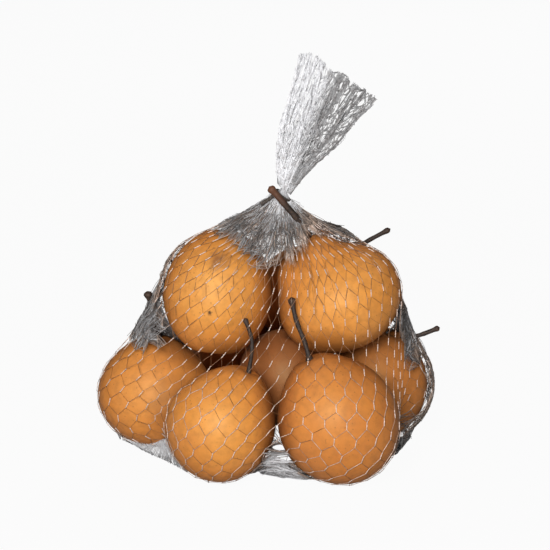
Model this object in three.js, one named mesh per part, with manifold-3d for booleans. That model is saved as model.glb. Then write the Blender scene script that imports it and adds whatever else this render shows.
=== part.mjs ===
/*
 * A net of pears. Nine pears lie heaped in a see-through plastic net: five on the floor, one
 * between them a little higher, and three on top. A wire twist tie closes the neck, the spare
 * net fans out above it, and four pear stems poke out through the mesh.
 *
 * Millimetres, +Z up. The origin is at floor level under the middle of the bounding box. The
 * front of the heap faces -Y, and the fan of spare net leans towards +X.
 */
import * as THREE from 'three';
import { mergeVertices } from 'three/addons/utils/BufferGeometryUtils.js';
import Module from 'manifold-3d';

const wasm = await Module();
wasm.setup();

// ---- driving sizes ----

// The net stands this far off a pear's skin, on the outside of its threads.
const NET_STANDOFF = 1.9;
// Pieces that touch keep this gap, and cut edges are tidied to this much.
const JOINT_GAP = 0.3;
const CUT_TIDY = 0.03;

// The net's skin is a tube of rings: columns round it, rows from the fan's top to the floor.
const COLUMNS = 52;
const FAN_ROWS = 9;
const BODY_ROWS = 33;
const RELAX_PASSES = 700;
// Threads pull harder along the bag than round it.
const PULL_ALONG = 0.34;
const PULL_ROUND = 0.14;

// Half the loose bag's footprint before it is drawn in, the rows of it that lie on the floor,
// and the share of the footprint that its last ring keeps.
const LOOSE_HALF = { x: 106, y: 90 };
const FLOOR_ROWS = 8;
const FLOOR_SHARE = 0.25;

// The tied neck.
const NECK = new THREE.Vector3(7, -1.5, 147);
const NECK_RADIUS = 3.5;
const NECK_LEAN = THREE.MathUtils.degToRad(26);

// The two side edges of the flattened fan, from the neck to its top corners, as x and z.
const FAN_LEFT = [[4.4, 154], [4.1, 168], [5.7, 185.2], [9.9, 199.4], [16.3, 224.5]];
const FAN_RIGHT = [[11.4, 147.6], [20.8, 160.3], [35.3, 174.2], [45.5, 186.5], [58, 199.9]];
const FAN_HALF_THICKNESS = 1.6;
const FAN_WAVE = { height: 2.6, turns: 1.35 };

// Each pear: its middle, half its width and height, its stem's direction, and how far the
// shoulders rise into a neck, over what angle.
const PEARS = {
  left: { middle: [-64, 5, 31.8], across: 31.8, along: 30.4, stem: [0.08, -0.08, 1], neck: 2.5 },
  frontLeft: { middle: [-26, -45.3, 31.4], across: 29.8, along: 30.4, stem: [0.5, 0.05, 1], neck: 4.5 },
  middle: { middle: [8.8, 2.5, 41], across: 26.4, along: 26.6, stem: [0.1, -0.2, 1], neck: 2 },
  frontRight: {
    middle: [37.2, -49.5, 35.4], across: 31.9, along: 34.7, stem: [-0.47, 0.1, 1], neck: 4.5,
  },
  right: { middle: [60.4, 12, 33.1], across: 29.2, along: 31.4, stem: [0.3, -0.1, 1], neck: 2.5 },
  topLeft: { middle: [-28.3, 0, 91.4], across: 30.8, along: 35.2, stem: [0.12, 0.3, 1], neck: 1.5 },
  topRight: {
    middle: [38.8, -5.5, 89.6], across: 34.2, along: 28.8, stem: [-0.5, 0.02, 1], neck: 11.5, spread: 0.4,
    shoulder: { towards: [-0.82, 0, 0.57], rise: 9.5, spread: 0.42 },
  },
  back: { middle: [19, 53.7, 74.5], across: 27.3, along: 28, stem: [0.85, -0.1, 0.75], neck: 3 },
  backLow: { middle: [-18, 52.4, 30.4], across: 28.8, along: 29, stem: [-0.3, 0.4, 1], neck: 3 },
};
const NECK_SPREAD = 0.45;

// A loose fold of the net stands up by itself, as if over a ball.
const LOOSE_FOLD = { middle: [34, 13, 110], radius: 16 };

// The stems that poke out of the net, from the pear to the free end.
const STEM_SIDES = 8;
const STEMS = {
  stem_left: { radius: 1.45, route: [[-60.8, 2.8, 61], [-61.9, 2, 70], [-64.6, 1.5, 80], [-67.5, 1.5, 91.6]] },
  stem_right: { radius: 1.4, route: [[70.2, 8.4, 61], [77, 7.2, 62.6], [85, 7, 65], [94.4, 7, 68.9]] },
  stem_back: { radius: 1.4, route: [[41, 51.5, 95], [48, 49.2, 101.5], [56, 48.3, 107.3], [68.4, 48, 114.4]] },
  stem_top: { radius: 1.95, route: [[21.2, -5, 124.9], [16, -8.2, 134.6], [8.4, -9.9, 144.4], [0.2, -9.9, 154]] },
};
// Where three of them hold the net out.
const PROPS = [[-66.6, 1.5, 87], [82.3, 7, 63.9], [55.8, 48.3, 107.2]];
// A stem's free end is a knob, wider than the stem and a little flattened.
const KNOB = { wider: 1.3, flatter: 0.8 };

// The twist tie: a flat strip round the neck, and its two twisted ends.
const TIE = {
  width: 2.4,
  thickness: 0.8,
  lean: THREE.MathUtils.degToRad(38),
  ends: [[3.3, -1.7, 149.8], [0.6, -2.2, 146.9], [-4.9, -2.8, 142.2]],
  endRadius: 0.95,
};
const BAND_SIDES = 24;

const COLOURS = { net: 0xb9b6b2, stem: 0x2a1c14, tie: 0x3a332c };

// ---- helpers ----

const vector = ([x, y, z]) => new THREE.Vector3(x, y, z);

/** A closed geometry as a manifold-3d solid. */
function toSolid(geometry) {
  const bare = new THREE.BufferGeometry();
  bare.setAttribute('position', geometry.getAttribute('position').clone());
  if (geometry.index) bare.setIndex(geometry.index.clone());
  const merged = mergeVertices(bare, 1e-4);
  return new wasm.Manifold(new wasm.Mesh({
    numProp: 3,
    vertProperties: new Float32Array(merged.getAttribute('position').array),
    triVerts: new Uint32Array(merged.index.array),
  }));
}

/** A manifold-3d solid as a geometry. */
function toGeometry(solid) {
  const mesh = solid.getMesh();
  const geometry = new THREE.BufferGeometry();
  geometry.setAttribute('position', new THREE.BufferAttribute(mesh.vertProperties, 3));
  geometry.setIndex(new THREE.BufferAttribute(mesh.triVerts, 1));
  geometry.computeVertexNormals();
  return geometry;
}

/** How far a bump lifts the skin, at an angle from its middle. */
function bump(rise, spread, cosine) {
  const angle = Math.acos(THREE.MathUtils.clamp(cosine, -1, 1));
  return rise * Math.exp(-((angle / spread) ** 2));
}

/** The distance from a pear's middle to its skin, in a unit direction. */
function skinReach(pear, direction) {
  const cosine = direction.dot(pear.axis);
  const sine = Math.sqrt(Math.max(0, 1 - cosine * cosine));
  const body = (pear.across * pear.along) / Math.hypot(pear.across * cosine, pear.along * sine);
  const shoulder = pear.shoulder
    ? bump(pear.shoulder.rise, pear.shoulder.spread, direction.dot(pear.shoulderAxis))
    : 0;
  return body + Math.max(bump(pear.neck, pear.spread ?? NECK_SPREAD, cosine), shoulder);
}

/** The pears with their directions made ready. */
function readPears() {
  return Object.values(PEARS).map((pear) => ({
    ...pear,
    centre: vector(pear.middle),
    axis: vector(pear.stem).normalize(),
    shoulderAxis: pear.shoulder && vector(pear.shoulder.towards).normalize(),
  }));
}

// ---- the net ----

/** The flattened fan of spare net, as rings from its top edge down to just above the neck. */
function fanRings() {
  const left = new THREE.CatmullRomCurve3(FAN_LEFT.map(([x, z]) => new THREE.Vector3(x, NECK.y, z)));
  const right = new THREE.CatmullRomCurve3(FAN_RIGHT.map(([x, z]) => new THREE.Vector3(x, NECK.y, z)));
  const rings = [];
  for (let row = 0; row < FAN_ROWS; row += 1) {
    const rise = 1 - row / FAN_ROWS;
    const from = left.getPointAt(rise);
    const to = right.getPointAt(rise);
    const middle = from.clone().add(to).multiplyScalar(0.5);
    const half = to.clone().sub(from).multiplyScalar(0.5);
    const thick = THREE.MathUtils.lerp(NECK_RADIUS, FAN_HALF_THICKNESS, Math.min(1, rise * 4));
    rings.push(ringOf((turn) => {
      const across = Math.cos(turn);
      const wave = FAN_WAVE.height * rise * Math.sin(Math.PI * FAN_WAVE.turns * (across + rise));
      return middle.clone()
        .addScaledVector(half, across)
        .add(new THREE.Vector3(0, thick * Math.sin(turn) + wave, 0));
    }));
  }
  return rings;
}

/** A ring of points, one for each column, from a function of the turn. */
function ringOf(place) {
  return Array.from({ length: COLUMNS }, (_, column) => place((2 * Math.PI * column) / COLUMNS));
}

/** The round neck, square to the fan's lean. */
function neckRing() {
  const across = new THREE.Vector3(Math.cos(NECK_LEAN), 0, -Math.sin(NECK_LEAN));
  return ringOf((turn) => NECK.clone()
    .addScaledVector(across, NECK_RADIUS * Math.cos(turn))
    .add(new THREE.Vector3(0, NECK_RADIUS * Math.sin(turn), 0)));
}

/** The bag below the neck before it is drawn in: a loose bell that ends flat on the floor. */
function looseRings() {
  const rings = [];
  const sideRows = BODY_ROWS - FLOOR_ROWS;
  for (let row = 1; row <= BODY_ROWS; row += 1) {
    const drop = Math.min(1, row / sideRows);
    const share = row < sideRows
      ? Math.sin((Math.PI / 2) * Math.min(1, 1.8 * drop))
      : THREE.MathUtils.lerp(1, FLOOR_SHARE, (row - sideRows) / FLOOR_ROWS);
    rings.push(ringOf((turn) => new THREE.Vector3(
      LOOSE_HALF.x * share * Math.cos(turn) + NECK.x * (1 - share),
      LOOSE_HALF.y * share * Math.sin(turn) + NECK.y * (1 - share),
      NECK.z * (1 - drop ** 1.4),
    )));
  }
  return rings;
}

/** Pushes a point of the net out of every pear and the loose fold, and off the floor. */
function keepOutside(point, pears) {
  for (const pear of pears) {
    const away = point.clone().sub(pear.centre);
    const distance = away.length();
    away.divideScalar(distance);
    const reach = skinReach(pear, away) + NET_STANDOFF;
    if (distance < reach) point.copy(pear.centre).addScaledVector(away, reach);
  }
  const offFold = point.clone().sub(vector(LOOSE_FOLD.middle));
  if (offFold.length() < LOOSE_FOLD.radius) {
    point.copy(vector(LOOSE_FOLD.middle)).add(offFold.setLength(LOOSE_FOLD.radius));
  }
  point.z = Math.max(0, point.z);
}

/** Draws the loose bag in round the pears, as a net under tension is. */
function drawIn(rings, pears) {
  const lastRow = rings.length - 1;
  const props = PROPS.map(vector);
  for (let pass = 0; pass < RELAX_PASSES; pass += 1) {
    const held = pass > RELAX_PASSES / 2 ? nearestPlaces(rings, props) : [];
    const before = rings.map((ring) => ring.map((point) => point.clone()));
    for (let row = 1; row < lastRow; row += 1) {
      for (let column = 0; column < COLUMNS; column += 1) {
        const here = before[row][column];
        const beside = (step) => before[row][(column + step + COLUMNS) % COLUMNS];
        const pull = before[row - 1][column].clone().add(before[row + 1][column])
          .addScaledVector(here, -2).multiplyScalar(PULL_ALONG);
        pull.add(beside(1).clone().add(beside(-1)).addScaledVector(here, -2).multiplyScalar(PULL_ROUND));
        rings[row][column].copy(here).add(pull);
        keepOutside(rings[row][column], pears);
        if (row >= BODY_ROWS - FLOOR_ROWS) rings[row][column].z = 0;
      }
    }
    for (const { row, column, prop } of held) rings[row][column].copy(prop);
  }
}

/** The grid place nearest to each stem that props the net up. */
function nearestPlaces(rings, props) {
  return props.map((prop) => {
    let nearest = { gap: Infinity };
    rings.forEach((ring, row) => ring.forEach((point, column) => {
      const gap = point.distanceTo(prop);
      if (gap < nearest.gap) nearest = { row, column, prop, gap };
    }));
    return nearest;
  });
}

/** Every ring of the net, from the fan's top edge to the flat base. */
function netRings() {
  const body = [neckRing(), ...looseRings()];
  drawIn(body, readPears());
  return [...fanRings(), ...body];
}

/** A closed skin over the rings, its first and last ring each shut from side to side. */
function skinOver(rings) {
  const geometry = new THREE.BufferGeometry().setFromPoints(rings.flat());
  const at = (row, column) => row * COLUMNS + ((column + COLUMNS) % COLUMNS);
  const faces = [];
  for (let row = 0; row + 1 < rings.length; row += 1) {
    for (let column = 0; column < COLUMNS; column += 1) {
      faces.push(at(row, column), at(row + 1, column), at(row + 1, column + 1));
      faces.push(at(row, column), at(row + 1, column + 1), at(row, column + 1));
    }
  }
  faces.push(...lid(at, 0, false), ...lid(at, rings.length - 1, true));
  geometry.setIndex(faces);
  return geometry;
}

/** The triangles that shut a ring, zipping its two halves together. */
function lid(at, row, facesDown) {
  const faces = [];
  for (let column = 0; column < COLUMNS / 2; column += 1) {
    const corners = [at(row, column), at(row, column + 1), at(row, -column - 1), at(row, -column)];
    if (facesDown) corners.reverse();
    const [a, b, c, d] = corners;
    if (a !== d) faces.push(a, b, d);
    if (b !== c) faces.push(b, c, d);
  }
  return faces;
}

/** The net's solid swollen by the gap, which cuts what passes through it. */
function swollen(geometry) {
  const grown = geometry.clone();
  const position = grown.getAttribute('position');
  const normal = grown.getAttribute('normal');
  for (let index = 0; index < position.count; index += 1) {
    const place = new THREE.Vector3().fromBufferAttribute(position, index);
    place.addScaledVector(new THREE.Vector3().fromBufferAttribute(normal, index), JOINT_GAP);
    position.setXYZ(index, place.x, place.y, place.z);
  }
  return toSolid(grown);
}

// ---- stems and tie ----

/** A round rod along a smooth route. */
function rod(route, radius, steps) {
  const outline = new THREE.Shape(Array.from({ length: STEM_SIDES }, (_, side) => {
    const turn = (2 * Math.PI * side) / STEM_SIDES;
    return new THREE.Vector2(radius * Math.cos(turn), radius * Math.sin(turn));
  }));
  const path = new THREE.CatmullRomCurve3(route.map(vector));
  return toSolid(new THREE.ExtrudeGeometry(outline, { steps, bevelEnabled: false, extrudePath: path }));
}

/** A pear stem with a knob on its free end. */
function stemSolid({ radius, route }) {
  const end = vector(route.at(-1));
  const direction = end.clone().sub(vector(route.at(-2))).normalize();
  const knob = new THREE.SphereGeometry(radius * KNOB.wider, STEM_SIDES + 2, STEM_SIDES - 2);
  knob.scale(1, KNOB.flatter, 1);
  knob.applyQuaternion(new THREE.Quaternion().setFromUnitVectors(new THREE.Vector3(0, 1, 0), direction));
  knob.translate(end.x, end.y, end.z);
  return rod(route, radius, 2 * (route.length - 1)).add(toSolid(knob));
}

/** The twist tie: a closed band round the neck, and the twisted pair of ends beside it. */
function tieSolid() {
  const inner = NECK_RADIUS / Math.cos(TIE.lean - NECK_LEAN) + 2 * JOINT_GAP;
  const outer = inner + TIE.thickness;
  const profile = [[inner, -0.5], [outer, -0.5], [outer, 0.5], [inner, 0.5], [inner, -0.5]]
    .map(([radius, side]) => new THREE.Vector2(radius, side * TIE.width));
  const band = new THREE.LatheGeometry(profile, BAND_SIDES);
  band.rotateX(Math.PI / 2);
  band.rotateY(TIE.lean);
  band.translate(NECK.x, NECK.y, NECK.z);
  const middle = (inner + outer) / 2;
  const clear = new THREE.CylinderGeometry(middle, middle, 4 * TIE.width, BAND_SIDES);
  clear.rotateX(Math.PI / 2);
  clear.rotateY(TIE.lean);
  clear.translate(NECK.x, NECK.y, NECK.z);
  return rod(TIE.ends, TIE.endRadius, 4).subtract(toSolid(clear)).add(toSolid(band));
}

// ---- the parts ----

/** A named mesh with its own finish. */
function piece(name, geometry, color, roughness) {
  const material = new THREE.MeshStandardMaterial({ color, roughness, metalness: 0 });
  const mesh = new THREE.Mesh(geometry, material);
  mesh.name = name;
  return mesh;
}

const pearNet = new THREE.Group();
const net = toGeometry(toSolid(skinOver(netRings())));
const netCutter = swollen(net);
const clearOfNet = (solid) => toGeometry(solid.subtract(netCutter).simplify(CUT_TIDY));
pearNet.add(piece('net_bag', net, COLOURS.net, 0.5));
pearNet.add(piece('neck_tie', clearOfNet(tieSolid()), COLOURS.tie, 0.6));
for (const [name, stem] of Object.entries(STEMS)) {
  pearNet.add(piece(name, clearOfNet(stemSolid(stem)), COLOURS.stem, 0.8));
}

export default pearNet;
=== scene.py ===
"""A net of pears on a pale floor.

Nine golden pears lie heaped in a clear plastic net. A wire twist tie closes the neck, the spare
net fans out above it, and stems poke out through the mesh.

The net is worked out here: a smooth bag is drawn in round the heap, the net's own hexagonal
mesh is laid on it, and its threads are pulled tight over the pears, the stems and the floor.
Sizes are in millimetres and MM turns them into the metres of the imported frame.
"""
import logging
import math
from collections.abc import Callable
from dataclasses import dataclass, field
from enum import Enum

import bmesh
import bpy
import numpy as np
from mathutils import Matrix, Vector


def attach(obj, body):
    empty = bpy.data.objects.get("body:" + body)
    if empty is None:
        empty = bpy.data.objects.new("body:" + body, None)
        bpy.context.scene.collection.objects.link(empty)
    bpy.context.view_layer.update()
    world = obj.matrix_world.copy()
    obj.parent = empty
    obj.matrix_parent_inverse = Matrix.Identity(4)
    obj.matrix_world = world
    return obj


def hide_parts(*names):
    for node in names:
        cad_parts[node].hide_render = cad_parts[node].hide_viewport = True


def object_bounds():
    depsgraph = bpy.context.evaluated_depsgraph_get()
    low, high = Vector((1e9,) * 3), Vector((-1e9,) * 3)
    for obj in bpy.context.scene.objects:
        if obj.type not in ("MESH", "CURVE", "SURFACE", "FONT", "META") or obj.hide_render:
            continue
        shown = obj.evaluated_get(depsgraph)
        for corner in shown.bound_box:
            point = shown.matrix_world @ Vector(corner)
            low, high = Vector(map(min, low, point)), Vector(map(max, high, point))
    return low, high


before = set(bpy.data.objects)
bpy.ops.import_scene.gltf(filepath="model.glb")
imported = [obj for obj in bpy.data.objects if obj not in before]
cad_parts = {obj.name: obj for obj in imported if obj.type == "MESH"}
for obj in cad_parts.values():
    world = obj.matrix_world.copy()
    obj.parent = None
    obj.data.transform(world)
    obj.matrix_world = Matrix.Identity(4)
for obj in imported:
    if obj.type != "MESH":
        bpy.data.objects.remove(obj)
CAD_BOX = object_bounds()

LOG = logging.getLogger("net_of_pears")
MM = 0.001
BODY = "root"
NEARLY_NOTHING = 1e-9
OFF_THREADS = (0.31, 0.9, 0.3)  # a direction that no thread of the net runs along
Point = tuple[float, float, float]
Colour = tuple[float, float, float]


class Slot(Enum):
    """The record's material slots."""

    NET = "net"
    SKIN = "pear_skin"
    STEM = "stem"
    TIE = "tie"


# ---- shader building ----


class Wire:
    """One output of a shader's node. Arithmetic on it adds Math nodes."""

    def __init__(self, shader: "Shader", socket: bpy.types.NodeSocket) -> None:
        """Keeps the shader that the socket belongs to."""
        self.shader = shader
        self.socket = socket

    def _math(self, operation: str, *values: "Wire | float") -> "Wire":
        """Adds a Math node.

        Args:
            operation: The Math node's operation.
            *values: Its inputs in order.

        Returns:
            The node's result.
        """
        settings = {"operation": operation}
        return self.shader.node("ShaderNodeMath", settings, dict(enumerate(values)))

    def __add__(self, other: "Wire | float") -> "Wire":
        """Adds."""
        return self._math("ADD", self, other)

    def __radd__(self, other: float) -> "Wire":
        """Adds, from the right."""
        return self._math("ADD", other, self)

    def __sub__(self, other: "Wire | float") -> "Wire":
        """Subtracts."""
        return self._math("SUBTRACT", self, other)

    def __rsub__(self, other: float) -> "Wire":
        """Subtracts this from a number."""
        return self._math("SUBTRACT", other, self)

    def __mul__(self, other: "Wire | float") -> "Wire":
        """Multiplies."""
        return self._math("MULTIPLY", self, other)

    def __rmul__(self, other: float) -> "Wire":
        """Multiplies, from the right."""
        return self._math("MULTIPLY", other, self)

    def fade(self, low: float, high: float) -> "Wire":
        """Goes smoothly from 0 at low to 1 at high.

        Args:
            low: Where the result is 0.
            high: Where the result is 1.

        Returns:
            The smoothed value.
        """
        settings = {"interpolation_type": "SMOOTHSTEP"}
        inputs = {"Value": self, "From Min": low, "From Max": high}
        return self.shader.node("ShaderNodeMapRange", settings, inputs, "Result")


class Shader:
    """A node material, built from one Principled surface."""

    def __init__(self, name: str) -> None:
        """Starts an empty material.

        Args:
            name: The material's name.
        """
        self.material = bpy.data.materials.new(name)
        self.material.use_nodes = True
        self.tree = self.material.node_tree
        self.surface = self.tree.nodes["Principled BSDF"]
        self.place = self.node("ShaderNodeTexCoord", {}, {}, "Object")

    def node(self, kind: str, settings: dict, inputs: dict, output: str | int = 0) -> Wire:
        """Adds any node.

        Args:
            kind: The node's type.
            settings: The node's own properties, set first.
            inputs: Values or wires by socket name or number.
            output: Which output to hand back.

        Returns:
            The chosen output.
        """
        made = self.tree.nodes.new(kind)
        for name, value in settings.items():
            setattr(made, name, value)
        for name, value in inputs.items():
            self.feed(made.inputs[name], value)
        return Wire(self, made.outputs[output])

    def feed(self, socket: bpy.types.NodeSocket, value: "Wire | float | tuple") -> None:
        """Links a wire to a socket, or sets the socket's own value.

        Args:
            socket: The socket to feed.
            value: A wire, a number or a colour.
        """
        if isinstance(value, Wire):
            self.tree.links.new(value.socket, socket)
        elif isinstance(value, tuple) and len(value) == 3 and socket.type == "RGBA":
            socket.default_value = (*value, 1.0)
        else:
            socket.default_value = value

    def noise(self, scale: float, detail: float = 3.0, place: Wire | None = None) -> Wire:
        """A noise between 0 and 1.

        Args:
            scale: Features in each metre.
            detail: Octaves of finer noise.
            place: Where to sample, or None for the object's own space.

        Returns:
            The noise value.
        """
        inputs = {"Vector": place or self.place, "Scale": scale, "Detail": detail}
        return self.node("ShaderNodeTexNoise", {}, inputs, "Fac")

    def mix(self, factor: Wire | float, first: "Wire | Colour", second: "Wire | Colour") -> Wire:
        """Mixes two colours.

        Args:
            factor: 0 for the first colour and 1 for the second.
            first: A colour or a wire.
            second: A colour or a wire.

        Returns:
            The mixed colour.
        """
        settings = {"data_type": "RGBA", "clamp_factor": True}
        inputs = {"Factor": factor, 6: first, 7: second}
        return self.node("ShaderNodeMix", settings, inputs, 2)

    def attribute(self, name: str) -> Wire:
        """The value that a mesh stores under a name."""
        return self.node("ShaderNodeAttribute", {"attribute_name": name}, {}, "Fac")

    def distance(self, point: Point) -> Wire:
        """Metres from a point given in millimetres."""
        inputs = {0: self.place, 1: tuple(MM * value for value in point)}
        return self.node("ShaderNodeVectorMath", {"operation": "DISTANCE"}, inputs, "Value")

    def bump(self, height: Wire, strength: float, distance: float) -> None:
        """Feeds the surface's normal from a height.

        Args:
            height: The relief, from 0 to 1.
            strength: How much of it shows.
            distance: The relief's full height in metres.
        """
        inputs = {"Strength": strength, "Distance": distance, "Height": height}
        self.finish({"Normal": self.node("ShaderNodeBump", {}, inputs, "Normal")})

    def finish(self, inputs: dict) -> bpy.types.Material:
        """Sets or links the surface's own sockets.

        Args:
            inputs: Values or wires by socket name.

        Returns:
            The material.
        """
        for name, value in inputs.items():
            self.feed(self.surface.inputs[name], value)
        return self.material


# ---- finishes ----


@dataclass(frozen=True)
class PearSkin:
    """Waxy golden skin: mottled, redder where ripe, freckled, browner at both ends, with painted light and
    shade.
    """

    golden: Colour = (0.66, 0.235, 0.043)
    pale: Colour = (0.72, 0.28, 0.062)
    ripe: Colour = (0.50, 0.155, 0.038)
    # Painted light: the paler colour on the side that faces the lamp.
    painted_light_tone: Colour = (0.78, 0.36, 0.075)
    # Used for real russet marks, and also as painted shade that darkens the middle pear.
    russet_and_shade: Colour = (0.22, 0.085, 0.03)
    shaded: Colour = (0.15, 0.045, 0.014)
    bruise: Colour = (0.20, 0.07, 0.028)
    mark: Colour = (0.08, 0.035, 0.018)
    gloss: Colour = (1.0, 0.88, 0.5)
    bruise_at: Point = (-28.2, -19.8, 116.2)
    bruise_reach: tuple[float, float] = (0.001, 0.009)
    mark_at: Point = (-31.8, -31.0, 90.2)
    mark_reach: tuple[float, float] = (0.0004, 0.0019)
    raggedness: float = 0.003
    patch_scale: float = 38.0
    grain_scale: float = 260.0
    blush_scale: float = 75.0
    blush: float = 0.8
    freckle_scale: float = 420.0
    freckle_size: tuple[float, float] = (0.10, 0.24)
    freckle_strength: float = 0.5
    ends_strength: float = 0.75
    # How strongly painted shade darkens the skin where other pears come close.
    crevice_shade_strength: float = 0.8
    relief: float = 0.0004
    relief_strength: float = 0.22

    def make(self) -> bpy.types.Material:
        """Builds the skin's material.

        Returns:
            The material.
        """
        shader = Shader("pear_skin")
        fine = shader.noise(self.grain_scale, 4)
        freckles = self.freckles(shader)
        tone = self.ground(shader, fine)
        sparse = shader.noise(170, 1).fade(0.42, 0.6)
        tone = shader.mix(freckles * sparse * self.freckle_strength, tone, self.russet_and_shade)
        tone = self.blemish(shader, fine, tone)
        # Painted shade: darker on the edges turned from the lamp, and where other pears come close.
        tone = shader.mix(shader.attribute("shaded_rim") * (1.6 * fine), tone, self.shaded)
        tone = shader.mix(shader.attribute("crowding") * self.crevice_shade_strength, tone, self.shaded)
        shader.bump(fine * 0.5 + freckles * 0.5, self.relief_strength, self.relief)
        shader.feed(shader.surface.inputs["Specular Tint"], (*self.gloss, 1.0))
        roughness = 0.48 + 0.12 * fine
        return shader.finish({"Base Color": tone, "Roughness": roughness, "Specular IOR Level": 0.5})

    def ground(self, shader: Shader, fine: Wire) -> Wire:
        """The skin's colour without freckles or blemishes.

        Args:
            shader: The skin's shader.
            fine: The fine grain.

        Returns:
            The colour.
        """
        broad = shader.noise(self.patch_scale, 2).fade(0.38, 0.66)
        tone = shader.mix(broad, self.golden, self.pale)
        # Painted light: paler and yellower on the side that faces the lamp.
        tone = shader.mix(shader.attribute("sun"), tone, self.painted_light_tone)
        ripeness = shader.attribute("ripeness") + self.blush * (shader.noise(self.blush_scale, 4) - 0.5)
        tone = shader.mix(ripeness, tone, self.ripe)
        # Painted shade: darkens the middle pear, which lies among the others.
        tone = shader.mix(shader.attribute("shade_darkening"), tone, self.russet_and_shade)
        tone = shader.mix((fine - 0.42) * 0.9, tone, self.russet_and_shade)
        ends = shader.attribute("ends") * shader.noise(150, 4).fade(0.3, 0.65)
        return shader.mix(ends * self.ends_strength, tone, self.russet_and_shade)

    def freckles(self, shader: Shader) -> Wire:
        """Small round specks.

        Args:
            shader: The skin's shader.

        Returns:
            1 in the middle of each speck and 0 between them.
        """
        inputs = {"Vector": shader.place, "Scale": self.freckle_scale, "Randomness": 1.0}
        cells = shader.node("ShaderNodeTexVoronoi", {"feature": "F1"}, inputs, "Distance")
        return 1 - cells.fade(*self.freckle_size)

    def blemish(self, shader: Shader, fine: Wire, tone: Wire) -> Wire:
        """Adds the bruise and the ragged mark.

        Args:
            shader: The skin's shader.
            fine: The fine grain.
            tone: The skin's colour.

        Returns:
            The blemished colour.
        """
        bruise = 1 - shader.distance(self.bruise_at).fade(*self.bruise_reach)
        tone = shader.mix(bruise * (1.3 * fine), tone, self.bruise)
        ragged = shader.distance(self.mark_at) + self.raggedness * (shader.noise(900, 2) - 0.5)
        mark = (1 - ragged.fade(*self.mark_reach)) * (1.7 * fine)
        return shader.mix(mark, tone, self.mark)


@dataclass(frozen=True)
class StemBark:
    """Dry near-black bark with paler ridges and a brown broken end."""

    dark: Colour = (0.022, 0.013, 0.009)
    ridge: Colour = (0.075, 0.044, 0.028)
    end: Colour = (0.17, 0.062, 0.026)

    def make(self) -> bpy.types.Material:
        """Builds the bark's material.

        Returns:
            The material.
        """
        shader = Shader("stem_bark")
        grain = shader.noise(700, 4)
        tone = shader.mix(grain.fade(0.45, 0.75), self.dark, self.ridge)
        tone = shader.mix(shader.attribute("broken_end") * 0.9, tone, self.end)
        shader.bump(grain, 0.5, 0.0005)
        return shader.finish({"Base Color": tone, "Roughness": 0.55 + 0.25 * grain})


@dataclass(frozen=True)
class NetThread:
    """Clear plastic thread, its light painted in: pale with the skin's colour on the pears as if seen
    through it, dark grey painted shade in the air, white where bunched, with dark brown painted shadow
    lines and flecks of painted shade.
    """

    name: str
    # The colours below, in order: dark brown painted shadow lines; the skin's colour painted in as if seen
    # through the thread; dark grey painted shade in the air; white where bunched; dark flecks of painted
    # shade, and their share.
    crossing: Colour
    seen_through_skin: Colour
    in_air_shade: Colour
    bunched: Colour
    twisted: Colour
    shade_fleck_share: float
    roughness: float
    specular: float

    def make(self) -> bpy.types.Material:
        """Builds the thread's material.

        Returns:
            The material.
        """
        shader = Shader(self.name)
        grain = shader.noise(900, 2)
        tone = shader.attribute("tone")
        # The tone picks painted shadow lines, the skin seen through, painted shade in the air or bunched
        # white; noise adds flecks of painted shade.
        colour = shader.mix(tone + 1, self.crossing, self.seen_through_skin)
        colour = shader.mix(tone, colour, self.in_air_shade)
        colour = shader.mix(tone - 1, colour, self.bunched)
        flecks = shader.noise(420, 1).fade(0.46, 0.56) * self.shade_fleck_share
        colour = shader.mix(flecks * (1 - 0.35 * tone), colour, self.twisted)
        shader.bump(grain, 0.3, 0.0002)
        return shader.finish(
            {
                "Base Color": colour,
                "Roughness": self.roughness + 0.12 * grain,
                "Specular IOR Level": self.specular,
            }
        )


# The legs' pale colours on the pears also stand for painted glints.
NET_LEG = NetThread(
    name="net_leg",
    crossing=(0.66, 0.54, 0.48), seen_through_skin=(0.74, 0.60, 0.52), in_air_shade=(0.17, 0.158, 0.152),
    bunched=(0.93, 0.93, 0.95), twisted=(0.24, 0.17, 0.13),
    shade_fleck_share=0.3, roughness=0.34, specular=0.5,
)
NET_STRAND = NetThread(
    name="net_strand",
    crossing=(0.30, 0.13, 0.05), seen_through_skin=(0.70, 0.54, 0.44), in_air_shade=(0.085, 0.079, 0.075),
    bunched=(0.93, 0.93, 0.95), twisted=(0.14, 0.08, 0.05),
    shade_fleck_share=0.35, roughness=0.5, specular=0.15,
)


@dataclass(frozen=True)
class TieCoat:
    """Dull brown-grey coating of the twist tie."""

    coat: Colour = (0.055, 0.042, 0.034)
    worn: Colour = (0.16, 0.12, 0.095)

    def make(self) -> bpy.types.Material:
        """Builds the coating's material.

        Returns:
            The material.
        """
        shader = Shader("tie_coat")
        grain = shader.noise(600, 3)
        tone = shader.mix(grain.fade(0.5, 0.75), self.coat, self.worn)
        shader.bump(grain, 0.3, 0.0002)
        return shader.finish({"Base Color": tone, "Roughness": 0.42 + 0.2 * grain})


@dataclass(frozen=True)
class FloorPaper:
    """Plain white studio paper, lifted towards white where it is seen directly."""

    tone: Colour = (0.42, 0.42, 0.42)
    lift: float = 0.95

    def make(self) -> bpy.types.Material:
        """Builds the paper's material.

        Returns:
            The material.
        """
        shader = Shader("floor_paper")
        shader.finish({"Base Color": self.tone, "Roughness": 0.9, "Specular IOR Level": 0.1})
        plain = Wire(shader, shader.surface.outputs[0])
        glow = shader.node("ShaderNodeEmission", {}, {"Color": (1.0, 1.0, 1.0), "Strength": 1.0})
        seen = shader.node("ShaderNodeLightPath", {}, {}, "Is Camera Ray") * self.lift
        mixed = shader.node("ShaderNodeMixShader", {}, {0: seen, 1: plain, 2: glow})
        shader.feed(shader.tree.nodes["Material Output"].inputs["Surface"], mixed)
        return shader.material


# ---- meshes ----


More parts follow.
